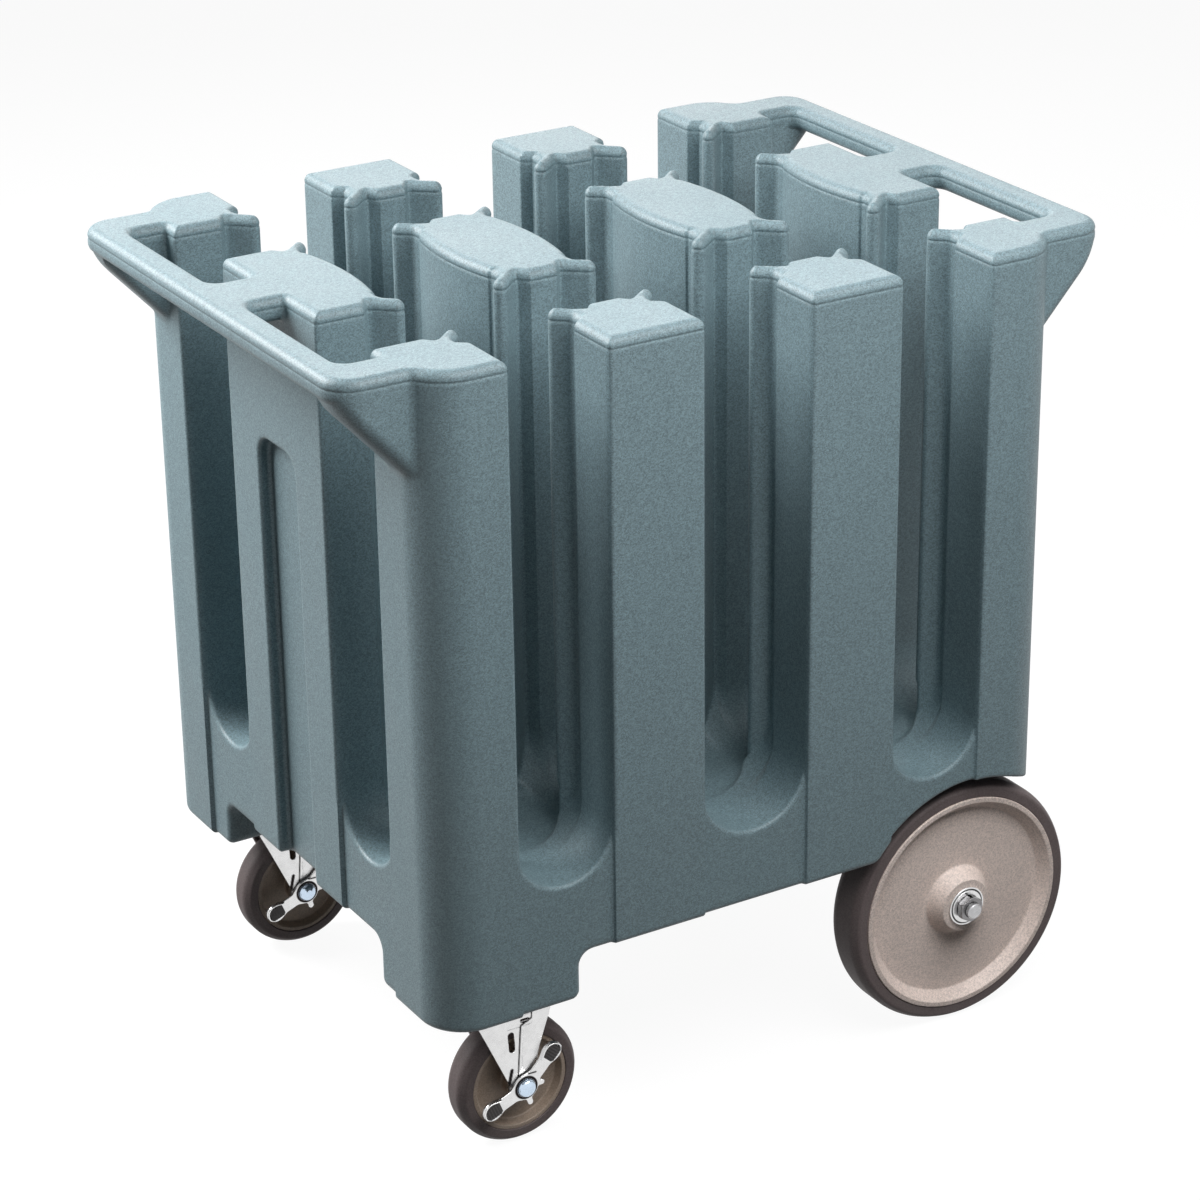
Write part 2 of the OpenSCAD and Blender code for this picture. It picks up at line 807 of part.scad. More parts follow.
module pedal_pads(side) {
    color("#2f2b2b") on_pedal(side) for (p = pedal_ends)
        rotate(atan2(p[1], p[0])) translate([norm(p) - pad_l / 2 - pad_h / 2, -pad_w / 2, pedal_t])
            cube([pad_l, pad_w, pad_h]);
}

// Friction shoe between the fork leg and the hub, pushed by two pins through the leg
shoe_t = 1.5;
shoe_r = 14;
shoe_back = 0.2;
shoe_pin_end = 1.1;

module brake_shoe(side) {
    color("#a9adb1") at_caster_wheel(side) translate([0, 0, shoe_back - leg_in]) {
        flat_washer(shoe_r, caster_bolt_d / 2 + 4 * fit, shoe_t);
        translate([0, 0, -fork_t - shoe_back - shoe_pin_end]) for (s = side_signs) translate([s * shoe_pin_ring, 0])
            cylinder(h = fork_t + shoe_back + shoe_pin_end + shoe_t / 2, r = shoe_pin_r);
    }
}

left = -1;
right = 1;

body_moulding();
rear_axle();
rear_wheel(left);  // rear_left_wheel
rear_tyre(left);  // rear_left_tyre
rear_bearing(left);  // rear_left_bearing
rear_inner_washer(left);  // rear_left_inner_washer
rear_outer_washer(left);  // rear_left_outer_washer
rear_nut(left);  // rear_left_nut
rear_wheel(right);  // rear_right_wheel
rear_tyre(right);  // rear_right_tyre
rear_bearing(right);  // rear_right_bearing
rear_inner_washer(right);  // rear_right_inner_washer
rear_outer_washer(right);  // rear_right_outer_washer
rear_nut(right);  // rear_right_nut
caster_plate(left);  // front_left_plate
mount_bolts(left);  // front_left_mount_bolts
inserts(left);  // front_left_inserts
kingpin(left);  // front_left_kingpin
balls(left);  // front_left_balls
fork(left);  // front_left_fork
caster_wheel(left);  // front_left_wheel
caster_tyre(left);  // front_left_tyre
bush(left);  // front_left_bush
axle_bolt(left);  // front_left_axle_bolt
caster_nut(left);  // front_left_nut
pedal(left);  // front_left_pedal
pedal_pads(left);  // front_left_pedal_pads
brake_shoe(left);  // front_left_brake_shoe
caster_plate(right);  // front_right_plate
mount_bolts(right);  // front_right_mount_bolts
inserts(right);  // front_right_inserts
kingpin(right);  // front_right_kingpin
balls(right);  // front_right_balls
fork(right);  // front_right_fork
caster_wheel(right);  // front_right_wheel
caster_tyre(right);  // front_right_tyre
bush(right);  // front_right_bush
axle_bolt(right);  // front_right_axle_bolt
caster_nut(right);  // front_right_nut
pedal(right);  // front_right_pedal
pedal_pads(right);  // front_right_pedal_pads
brake_shoe(right);  // front_right_brake_shoe
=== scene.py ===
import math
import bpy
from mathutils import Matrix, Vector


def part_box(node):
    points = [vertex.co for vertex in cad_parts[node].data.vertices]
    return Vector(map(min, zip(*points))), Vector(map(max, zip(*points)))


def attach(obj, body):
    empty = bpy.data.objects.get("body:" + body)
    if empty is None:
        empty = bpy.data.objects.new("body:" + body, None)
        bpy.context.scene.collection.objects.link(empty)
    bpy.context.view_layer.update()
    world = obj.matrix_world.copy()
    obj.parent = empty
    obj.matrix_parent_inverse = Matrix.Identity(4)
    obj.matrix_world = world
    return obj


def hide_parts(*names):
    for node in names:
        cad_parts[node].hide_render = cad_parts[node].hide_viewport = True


bl_info = {
    "name": "Plate dispenser cart",
    "version": (1, 0, 0),
    "blender": (4, 5, 0),
    "location": "3D View > Sidebar > Cart",
    "description": "Builds the looks of the plate dispenser cart round its packed frame",
    "category": "Object",
}

import bmesh
import bpy
import numpy as np
from mathutils import Matrix, Vector

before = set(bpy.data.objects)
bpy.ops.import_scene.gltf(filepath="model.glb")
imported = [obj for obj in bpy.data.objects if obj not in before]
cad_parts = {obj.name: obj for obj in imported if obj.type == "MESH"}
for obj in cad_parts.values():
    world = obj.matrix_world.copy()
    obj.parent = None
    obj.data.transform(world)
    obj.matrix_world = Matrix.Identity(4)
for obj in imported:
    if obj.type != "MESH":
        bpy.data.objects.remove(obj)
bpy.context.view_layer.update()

SIDES = {"left": -1, "right": 1}
BODY_LOW, BODY_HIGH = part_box("body_moulding")
AXLE_LOW, AXLE_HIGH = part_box("rear_axle")
TYRE_LOW, TYRE_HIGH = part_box("rear_left_tyre")
CASTER_LOW, CASTER_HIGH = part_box("front_left_tyre")
TURN = 2 * math.pi

# Grid step and number of triangles of each shape that is cast from a distance.
# The body has three steps: between edges, near them, and along its outer edges.
BODY_STEPS = (0.0044, 0.0021, 0.0014)
BODY_TRIANGLES = 196000
NUT_MESH = (0.0004, 16000)
FORK_MESH = (0.00085, 150000)
PEDAL_MESH = (0.0006, 70000)
PAD_MESH = (0.0004, 12000)
# Widths of the zones where the body's grid is fine, and how far the grid stands past the body.
EDGE_ZONE = 0.006
BAR_ZONE = 0.012
TOP_ZONE = 0.016
CHANNEL_ZONE = 0.04
GRID_PAST = 0.004
GRID_BELOW = 0.005
# How far a small piece's grid stands past its CAD box, in steps, and how far its pads stand past theirs.
MARGIN_STEPS = 2.5
PADS_PAST = Vector((0.003, 0.003, 0.003))
# Points are moved onto a surface along the slope of its distance.
GRADIENT_STEP = 5e-5
LEAST_SLOPE = 0.25

# Turned rings: the step along a rounding, its largest share of a side, and the points that hold it.
ARC_STEP = math.radians(12)
LARGEST_CUT = 0.45
SUPPORT = 0.15
LARGEST_SUPPORT = 0.04
WHEEL_SEGMENTS = 192
CASTER_SEGMENTS = 128
BOLT_SEGMENTS = 96
SHARP = math.radians(35)
# The rounded edge of a pressed sheet, and the room round a shank.
SHEET_EDGE = 0.0006
CLEARANCE = 0.0001


def middle_of(node):
    """Middle of a CAD node's box."""
    low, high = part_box(node)
    return (Vector(low) + Vector(high)) / 2


AXLE = middle_of("rear_axle")
AXLE_RADIUS = (AXLE_HIGH.z - AXLE_LOW.z) / 2
WHEEL_PLANE = middle_of("rear_right_tyre").y
NUT_MIDDLE = middle_of("rear_left_nut")
NUT_OUT, NUT_IN = (-corner.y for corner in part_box("rear_left_nut"))
SWIVEL = middle_of("front_left_kingpin")
ACROSS = Vector((0, middle_of("front_right_kingpin").y - SWIVEL.y, 0))
CASTER_AXLE = middle_of("front_left_tyre")
CROWN_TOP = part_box("front_left_fork")[1].z

# Finishes: half the pitch of the axle's thread, the depth of scratches, and the colour of the painted shade lines on
# pressed parts.
THREAD_HALF_PITCH = 0.00075
SCRATCH_DEPTH = 0.00002
PAINTED_SHADE_LINE = (0.012, 0.010, 0.010)
# Radii of the bores for the kingpin and the axle bolt.
KINGPIN_RADIUS = 0.00605
BOLT_RADIUS = 0.00505
# Chamfer of the rear nuts, and the hexagon bolts that hold the casters.
NUT_ROUND = 0.0006
NUT_SLOPE = 0.55
BOLT_FLATS = 0.013
BOLT_HEAD = 0.005
BOLT_SHANK = 0.004
CHAMFER_IN = 0.86
CHAMFER_UP = 0.16
BALLS = 18
# The middle of each end of the pedal and the tip of each tab, as (along, up) from the axle bolt.
PEDAL_ENDS = ((0.028, 0.030), (-0.036, -0.014))
PEDAL_TABS = ((0.0165, 0.001), (0.004, -0.0165))

# Lens in millimetres, turns in degrees and place in metres.
CAMERA = {
    "lens": 107.45,
    "yaw": -30.816,
    "pitch": 23.83,
    "roll": -0.781,
    "place": (-1.6331, -2.7467, 1.8205),
}
# Colour of the floor for the camera and for the light that it returns, its glow and its reach.
FLOOR_SHADOW = 0.12
FLOOR_BOUNCE = 0.02
FLOOR_GLOW = 0.94
FLOOR_REACH = 14.0
WORLD_LIGHT = 0.0
# Name, place, target, size and power in watts of each lamp.
LAMPS = (
    ("Behind", (1.3, 2.4, 2.0), (0, 0, 0.6), (2.4, 1.2), 32.0),
    ("Front", (0.15, -1.0, 1.65), (0, -0.1, 0.45), (1.4, 0.9), 25.0),
    ("Left", (-1.35, 1.3, 1.85), (-0.3, 0, 0.5), (1.2, 1.2), 90.0),
)


def length(name, default, about):
    """A size in metres that a user may change."""
    return bpy.props.FloatProperty(
        name=name, description=about, default=default, subtype="DISTANCE", unit="LENGTH", precision=4
    )


def colour(name, default, about):
    """A colour that a user may change."""
    return bpy.props.FloatVectorProperty(
        name=name, description=about, default=default, subtype="COLOR", size=3, min=0, max=1
    )


class CartBodySizes(bpy.types.PropertyGroup):
    """Sizes of the moulded body."""

    body_length: length("Length", 0.670, "Length over the end faces, without the handles")
    body_width: length("Width", BODY_HIGH.y - BODY_LOW.y, "Width over the side faces")
    top: length("Top", BODY_HIGH.z, "Height of the post tops above the floor")
    base: length("Underside", 0.207, "Height of the underside above the floor")
    floor: length("Well floor", 0.282, "Height of the well floors")
    corner: length("Corner radius", 0.045, "Radius of the outer upright corners")
    outer_slot: length("Outer slot", 0.098, "Width of the outer side slots")
    mid_slot: length("Middle slot", 0.112, "Width of the middle side slot")
    post: length("Post width", 0.098, "Width of an inner post along the length")
    end_slot: length("End slot", 0.100, "Width of the two end slots")
    mid_row: length("Middle row", 0.188, "Width of the middle row of posts")
    barrel: length("Barrelling", 0.008, "Bulge of the middle posts' long sides")
    top_round: length("Top rounding", 0.009, "Radius of the edge along the post tops")
    rim_round: length("Rim rounding", 0.004, "Radius of the edge round each slot")
    panel_set: length("Panel set-back", 0.004, "Depth of the panels under the slots")
    groove_soft: length("Groove softness", 0.0015, "Width of the step beside each panel")
    seam_drop: length("Seam drop", 0.0105, "Distance of the moulding seam below the tops")
    seam_depth: length("Seam depth", 0.0006, "Depth of the moulding seam")
    seam_width: length("Seam width", 0.0013, "Half the width of the moulding seam")
    well_radius: length("Well radius", 0.066, "Radius of the flat floor in each well")
    well_fillet: length("Well fillet", 0.010, "Radius between a well's floor and its wall")


class CartRibSizes(bpy.types.PropertyGroup):
    """Sizes of the plate guide ribs and the notches beside them."""

    rib_width: length("Rib width", 0.013, "Thickness of a plate guide rib")
    rib_length: length("Rib length", 0.036, "Length of a rib into its post")
    tip_in: length("Tip in", 0.003, "Distance of a rib tip's middle from the post's side")
    tip_out: length("Tip out", 0.0015, "Distance that a rib tip's middle stands past the post")
    rib_fillet: length("Rib fillet", 0.002, "Radius where a rib meets its post")
    notch_depth: length("Notch depth", 0.010, "Depth of the notch on both sides of a rib")
    notch_flat: length("Notch flat", 0.027, "Length of the notch where it is deep")
    notch_length: length("Notch length", 0.035, "Length of the notch in all")


class CartHandleSizes(bpy.types.PropertyGroup):
    """Sizes of the end panels and the two bar handles."""

    channel_width: length("Channel width", 0.074, "Width of the upright channel in an end panel")
    channel_depth: length("Channel depth", 0.012, "Depth of that channel")
    channel_top: length("Channel top", 0.641, "Height of the channel's top")
    channel_corner: length("Channel corner", 0.020, "Radius of the channel's upper corners")
    reach: length("Reach", 0.068, "Reach of a handle past the end face")
    bar_width: length("Bar width", 0.030, "Width of the bar seen from above")
    bar_height: length("Bar height", 0.024, "Height of the bar")
    bar_round: length("Bar rounding", 0.008, "Radius of the bar's lower edges")
    arm: length("Arm width", 0.048, "Width of an arm seen from above")
    bridge: length("Bridge", 0.068, "Width of the bridge in the middle")
    gap_corner: length("Gap corner", 0.012, "Radius of the finger gap's outer corners")
    outer_corner: length("Outer corner", 0.028, "Radius of the handle's outer corners")
    arm_set_in: length("Arm set-in", 0.026, "Distance that the handle is set in from the body's side")
    gusset: length("Gusset", 0.098, "Height of the gusset under each arm")
    gusset_round: length("Gusset rounding", 0.014, "Radius of the gusset's lower edges")


class CartUnderSizes(bpy.types.PropertyGroup):
    """Sizes of the caster pods, wheel arches and axle housing."""

    pod: length("Pod face", 0.160, "Height of the caster mounting face")
    pod_length: length("Pod length", 0.146, "Length of a pod along the body")
    pod_width: length("Pod width", 0.128, "Width of a pod across the body")
    pod_round: length("Pod rounding", 0.009, "Radius of a pod's lower edges")
    base_round: length("Lower edge", 0.007, "Radius of the body's lower edge")
    pod_fillet: length("Pod fillet", 0.014, "Radius where a pod leaves the underside")
    axle_x: length("Axle place", (AXLE_LOW.x + AXLE_HIGH.x) / 2, "Place of the axle along the cart")
    axle_z: length("Axle height", (AXLE_LOW.z + AXLE_HIGH.z) / 2, "Height of the axle")
    arch_gap: length("Arch gap", 0.011, "Gap between the tyre and its arch")
    arch_wall: length("Arch wall", 0.222, "Distance of the arch's wall from the middle")
    housing: length("Housing radius", 0.029, "Radius of the axle housing")


class CartWheelSizes(bpy.types.PropertyGroup):
    """Sizes of the large rear wheels, measured from their middle plane."""

    rim: length("Rim radius", 0.112, "Radius of the disc's rim inside the tyre")
    rim_wall: length("Rim wall", 0.008, "Thickness of the rim at the back")
    lip: length("Rim lip", 0.023, "Distance of the rim's edge from the middle plane")
    lip_width: length("Lip width", 0.005, "Width of the flat edge of the rim")
    slope: length("Slope", 0.009, "Width of the sloped band inside the rim")
    disc_out: length("Disc face", 0.012, "Distance of the disc's face from the middle plane")
    disc_in: length("Disc back", 0.004, "Distance of the disc's back from the middle plane")
    hub_foot: length("Hub foot", 0.036, "Radius of the hub where it leaves the disc")
    hub_front: length("Hub front", 0.027, "Radius of the hub's front face")
    hub_back: length("Hub back", 0.030, "Radius of the hub behind the disc")
    hub_out: length("Hub stand", 0.028, "Distance of the hub's front face from the middle plane")
    hub_in: length("Hub depth", 0.027, "Distance of the hub's back face from the middle plane")
    bore: length("Bore radius", 0.01305, "Radius of the bore round the bearing")
    washer: length("Washer radius", 0.020, "Radius of the outer washer")
    seal: length("Seal radius", 0.0177, "Radius of the dark seal in the outer washer")
    seal_half: length("Seal width", 0.0006, "Half the width of that seal")
    collar: length("Collar radius", 0.0124, "Radius of the collar inside the outer washer")
    nut: length("Nut width", 0.024, "Width of the axle nut over its flats")
    back_ribs: bpy.props.IntProperty(name="Back ribs", description="Ribs behind each disc", default=8, min=3, max=24)
    back_rib: length("Back rib", 0.005, "Thickness of a rib behind the disc")


class CartCasterSizes(bpy.types.PropertyGroup):
    """Sizes of the front casters, their forks and their brake pedals."""

    rim: length("Rim radius", 0.0495, "Radius of the core's rim inside the tyre")
    lip: length("Rim lip", 0.015, "Distance of the rim's edge from the middle plane")
    lip_width: length("Lip width", 0.004, "Width of the flat edge of the rim")
    slope: length("Slope", 0.003, "Width of the sloped band inside the rim")
    disc: length("Disc face", 0.006, "Distance of the core's face from the middle plane")
    hub: length("Hub face", 0.017, "Distance of the hub's face from the middle plane")
    hub_radius: length("Hub radius", 0.015, "Radius of the hub")
    bore: length("Bore radius", 0.00705, "Radius of the bore round the bush")
    sheet: length("Fork sheet", 0.0032, "Thickness of the fork's steel")
    leg_in: length("Leg inside", 0.020, "Distance of a leg's inner face from the middle plane")
    leg_front: length("Leg front", 0.030, "Distance of the leg's top corner before the swivel axis")
    leg_back: length("Leg back", 0.052, "Distance of the leg's top corner behind the swivel axis")
    leg_axle: length("Leg end", 0.013, "Radius of a leg round the axle bolt")
    crown: length("Crown radius", 0.033, "Radius of the fork's crown")
    crease: length("Crease", 0.0009, "Height of the crease pressed into each leg")
    crease_width: length("Crease width", 0.0016, "Width over which the crease fades")
    bracket: length("Bracket", 0.014, "Half the length of the bracket pressed at the top of each leg")
    bracket_half: length("Bracket height", 0.0055, "Half the height of the bracket")
    bracket_drop: length("Bracket drop", 0.013, "Depth of the bracket's middle below the crown's top")
    slot: length("Slot radius", 0.0031, "Radius of the slot in each leg")
    slot_low: length("Slot bottom", 0.042, "Height of the slot's lower centre above the axle")
    slot_high: length("Slot top", 0.057, "Height of the slot's upper centre above the axle")
    slot_front: length("Slot place", 0.0115, "Distance of the slot's lower centre before the axle")
    pedal_gap: length("Pedal gap", 0.0016, "Gap between the leg and the pedal")
    pedal: length("Pedal sheet", 0.0025, "Thickness of the pedal's steel")
    pedal_hub: length("Pedal hub", 0.013, "Radius of the pedal round the axle bolt")
    pedal_end: length("Pedal end", 0.010, "Radius of each end of the pedal")
    pedal_arm: length("Pedal arm", 0.014, "Width of a pedal arm")
    pedal_lip: length("Pedal lip", 0.0052, "Height of the lip round each end of the pedal")
    lip_half: length("Pedal lip sheet", 0.0008, "Half the thickness of that lip")
    wave: length("Pedal wave", 0.0008, "Height by which the pedal is waved out round the axle bolt")
    wave_run: length("Pedal wave run", 0.006, "Width over which the wave falls away")
    collar: length("Pedal collar", 0.0105, "Radius of the collar pressed round the axle bolt")
    collar_half: length("Pedal collar width", 0.0012, "Half the width of that collar")
    collar_rise: length("Pedal collar height", 0.0004, "Height of that collar over the pedal")
    pad: length("Pad height", 0.0019, "Height of a pedal pad")
    pad_length: length("Pad length", 0.0082, "Half the length of a pedal pad")
    pad_width: length("Pad width", 0.0070, "Half the width of a pedal pad")
    pad_ridge: length("Pad ridge", 0.0028, "Spacing of a pad's ridges")
    pad_seat: length("Pad seat", 0.0006, "Height of a pad's foot over the pedal")
    cap: length("Bolt cap radius", 0.009, "Radius of the domed cap on the axle bolt")
    cap_height: length("Bolt cap height", 0.006, "Height of the domed cap on the axle bolt")
    cap_gap: length("Bolt cap gap", 0.0005, "Gap between the pedal and the domed cap")


class CartFinish(bpy.types.PropertyGroup):
    """Colours of the cart's finishes."""

    body: colour("Body", (0.162, 0.236, 0.262), "Slate blue moulded plastic")
    disc: colour("Wheel disc", (0.86, 0.73, 0.665), "Beige moulded disc of a large wheel")
    core: colour("Caster core", (0.42, 0.33, 0.26), "Tan moulded core of a caster")
    rubber: colour("Rubber", (0.13, 0.102, 0.101), "Brown grey tyre rubber")
    zinc: colour("Zinc", (0.80, 0.80, 0.80), "Bright zinc plate")
    steel: colour("Steel", (0.52, 0.52, 0.53), "Plain steel")
    brass: colour("Brass", (0.52, 0.37, 0.14), "Brass of the inserts")
    pad: colour("Pedal pad", (0.03, 0.026, 0.026), "Dark pads on the pedals")
    floor: colour("Floor", (0.88, 0.88, 0.88), "Plain pale floor")


def rounded_max(a, b, radius):
    """Distance to the overlap of two shapes, with the edge between them rounded."""
    corner = np.hypot(np.maximum(a + radius, 0), np.maximum(b + radius, 0))
    return np.minimum(-radius, np.maximum(a, b)) + corner


def rounded_min(a, b, radius):
    """Distance to two joined shapes, with a fillet between them."""
    corner = np.hypot(np.maximum(radius - a, 0), np.maximum(radius - b, 0))
    return np.maximum(radius, np.minimum(a, b)) - corner


def rounded_box(past_x, past_y, radius):
    """Distance to a box from the distances past its faces, with its corners rounded."""
    corner = np.hypot(np.maximum(past_x + radius, 0), np.maximum(past_y + radius, 0))
    return corner + np.minimum(np.maximum(past_x, past_y) + radius, 0) - radius


def u_slot(across, z, half, floor):
    """Distance to a slot with a half-round bottom that is open at the top."""
    centre = floor + half
    return np.where(z > centre, across - half, np.hypot(across, z - centre) - half)


def ramp(value, start, end):
    """1 below start, 0 past end and a straight slope between them."""
    return np.clip((end - value) / (end - start), 0, 1)


def handle_shape(ax, ay, z, body, handle):
    """Distance to a handle: a bar on two arms and a bridge, with a gusset under each arm."""
    face, side = body.body_length / 2, body.body_width / 2 - handle.arm_set_in
    outer = face + handle.reach
    outline = rounded_box(ax - outer, ay - side, handle.outer_corner)
    arm_side = side - handle.arm
    gap_middle, gap_half = (arm_side + handle.bridge / 2) / 2, (arm_side - handle.bridge / 2) / 2
    gap = rounded_box(ax - outer + handle.bar_width, np.abs(ay - gap_middle) - gap_half, handle.gap_corner)
    plan = rounded_max(outline, -gap, body.panel_set)
    low = body.top - handle.bar_height
    bar = rounded_max(plan, low - z, handle.bar_round)
    rise = (low - body.top + handle.gusset) / handle.reach
    past_slope = (body.top - handle.gusset + rise * (ax - face) - z) / math.hypot(1, rise)
    gusset = rounded_max(plan, arm_side - ay, body.rim_round)
    gusset = rounded_max(gusset, past_slope, handle.gusset_round)
    return np.maximum(np.minimum(bar, gusset), face - handle.gap_corner - ax)


def underside(x, ay, z, body, under):
    """Distance below the underside: flat, with the two caster pods and the axle housing."""
    face, side = body.body_length / 2, body.body_width / 2
    pod = rounded_max(x + face - under.pod_length, side - under.pod_width - ay, 1.3 * under.pod_round)
    pod = rounded_max(pod, under.pod - z, under.pod_round)
    below = rounded_min(body.base - z, pod, under.pod_fillet)
    from_axle = np.hypot(x - under.axle_x, z - under.axle_z)
    web = np.maximum(np.abs(x - under.axle_x) - under.housing, under.axle_z - z)
    return rounded_min(below, np.minimum(from_axle - under.housing, web), under.pod_round)


def body_shape(x, y, z):
    """Distance to the moulded body: posts between crossing slots, ribs, wells, handles and underside."""
    scene = bpy.context.scene
    body, rib = scene.cart_body, scene.cart_ribs
    handle, under = scene.cart_handles, scene.cart_under
    ax, ay = np.abs(x), np.abs(y)
    face, side = body.body_length / 2, body.body_width / 2
    outer_place = (body.mid_slot + body.outer_slot) / 2 + body.post
    end_half = body.end_slot / 2
    outer_row = ax > body.mid_slot / 2 + body.post / 2
    half = np.where(outer_row, body.outer_slot / 2, body.mid_slot / 2)
    dx = np.abs(ax - np.where(outer_row, outer_place, 0))
    dy = np.abs(ay - body.mid_row / 2 - end_half)

    flat_side = body.mid_row / 2 - rib.notch_flat
    crest = body.barrel * np.minimum(ay / flat_side, 1) ** 2
    crest = np.where(ay < body.mid_row / 2, crest, 0)
    beside_rib = rib.notch_depth * ramp(dy - end_half, rib.notch_flat, rib.notch_length)
    across = u_slot(dx, z, half + np.maximum(beside_rib, crest), body.floor)
    beside_rib = rib.notch_depth * ramp(dx - half, rib.notch_flat, rib.notch_length)
    along = u_slot(dy, z, end_half + beside_rib, body.floor)

    soft = body.groove_soft / 2
    set_y = body.panel_set * ramp(dx, half - soft, half + soft)
    set_x = body.panel_set * ramp(dy, end_half - soft, end_half + soft)
    plan = rounded_box(ax - face + set_x, ay - side + set_y, body.corner)
    solid = rounded_max(plan, -np.minimum(across, along), body.rim_round)

    tip_x, tip_y = half + rib.tip_in, end_half - rib.tip_out
    reach = np.hypot(tip_x, tip_y)
    run = np.clip(((dx - tip_x) * tip_x + (dy - tip_y) * tip_y) / reach, 0, rib.rib_length)
    guide = np.hypot(dx - tip_x - run * tip_x / reach, dy - tip_y - run * tip_y / reach) - rib.rib_width / 2
    solid = rounded_min(solid, np.maximum(guide, (body.base + body.floor) / 2 - z), rib.rib_fillet)

    well = rounded_max(np.hypot(dx, dy) - body.well_radius, body.floor - z, body.well_fillet)
    solid = rounded_max(solid, -np.maximum(well, z - body.floor - end_half), body.rim_round)
    recess = rounded_box(ay - handle.channel_width / 2, z - handle.channel_top, handle.channel_corner)
    recess = rounded_max(recess, face - handle.channel_depth - ax, body.rim_round)
    solid = rounded_max(solid, -recess, body.rim_round)
    solid = rounded_min(solid, handle_shape(ax, ay, z, body, handle), body.rim_round)

    seam = np.exp(-(((z - body.top + body.seam_drop) / body.seam_width) ** 2))
    solid = rounded_max(solid + body.seam_depth * seam, z - body.top, body.top_round)
    solid = rounded_max(solid, underside(x, ay, z, body, under), under.base_round)
    arch_radius = (TYRE_HIGH.z - TYRE_LOW.z) / 2 + under.arch_gap
    from_axle = np.hypot(x - under.axle_x, z - under.axle_z)
    return rounded_max(solid, -np.maximum(from_axle - arch_radius, under.arch_wall - ay), body.rim_round)


def grid_lines(start, *zones):
    """Grid planes from a start through zones of (end, step)."""
    planes = []
    for end, step in zones:
        count = max(1, round((end - start) / step))
        planes += [start + (end - start) * i / count for i in range(count)]
        start = end
    return np.array(planes + [start])


def both_sides(planes):
    """The same grid planes on both sides of zero."""
    return np.concatenate([-planes[:0:-1], planes])


def skin_of(shape, xs, ys, zs):
    """Points and quads of the surface where shape is zero, by surface nets on a grid."""
    planes = np.meshgrid(xs, ys, zs, indexing="ij", sparse=True)
    field = np.asarray(shape(*(plane.astype(np.float32) for plane in planes)), float)
    inside = field < 0
    size = np.array(field.shape)
    corners = [(i, j, k) for i in (0, 1) for j in (0, 1) for k in (0, 1)]
    count = np.zeros(size - 1, np.int8)
    for i, j, k in corners:
        count += inside[i : size[0] - 1 + i, j : size[1] - 1 + j, k : size[2] - 1 + k]
    cell = np.argwhere((count > 0) & (count < len(corners)))
    value, place = {}, {}
    for corner in corners:
        at = cell + corner
        value[corner] = field[tuple(at.T)]
        place[corner] = np.stack([xs[at[:, 0]], ys[at[:, 1]], zs[at[:, 2]]], 1)
    total, hits = np.zeros((len(cell), 3)), np.zeros(len(cell))
    for first in corners:
        for axis in range(3):
            if first[axis]:
                continue
            second = tuple(1 if a == axis else c for a, c in enumerate(first))
            crosses = (value[first] < 0) != (value[second] < 0)
            share = value[first] / np.where(crosses, value[first] - value[second], 1)
            point = place[first] + share[:, None] * (place[second] - place[first])
            total += np.where(crosses[:, None], point, 0)
            hits += crosses
    index = np.full(size - 1, -1, np.int32)
    index[tuple(cell.T)] = np.arange(len(cell))
    quads = []
    for axis, (u, v) in enumerate(((1, 2), (2, 0), (0, 1))):
        low, high = [slice(None)] * 3, [slice(None)] * 3
        low[axis], high[axis] = slice(0, -1), slice(1, None)
        near, far = inside[tuple(low)], inside[tuple(high)]
        edge = np.argwhere(near != far)
        edge = edge[(edge[:, u] > 0) & (edge[:, v] > 0) & (edge[:, u] < size[u] - 1) & (edge[:, v] < size[v] - 1)]
        outwards = near[tuple(edge.T)]
        ring = []
        for du, dv in ((1, 1), (0, 1), (0, 0), (1, 0)):
            at = edge.copy()
            at[:, u] -= du
            at[:, v] -= dv
            ring.append(index[tuple(at.T)])
        quad = np.stack(ring, 1)
        quad[~outwards] = quad[~outwards][:, ::-1]
        quads.append(quad)
    return total / hits[:, None], np.concatenate(quads)


def slope_of(shape, points):
    """Gradient of a distance at points, which is the surface's outward normal there."""
    slope = np.empty_like(points)
    for axis in range(3):
        high, low = points.copy(), points.copy()
        high[:, axis] += GRADIENT_STEP
        low[:, axis] -= GRADIENT_STEP
        slope[:, axis] = (shape(*high.T) - shape(*low.T)) / (2 * GRADIENT_STEP)
    return slope


def settle(shape, points, rounds):
    """Moves points onto the surface where shape is zero."""
    for _ in range(rounds):
        slope = slope_of(shape, points)
        square = np.maximum((slope**2).sum(1), LEAST_SLOPE)
        points = points - (shape(*points.T) / square)[:, None] * slope
    return points


def mesh_points(mesh):
    """A mesh's vertices as an array."""
    points = np.empty(len(mesh.vertices) * 3)
    mesh.vertices.foreach_get("co", points)
    return points.reshape(-1, 3)


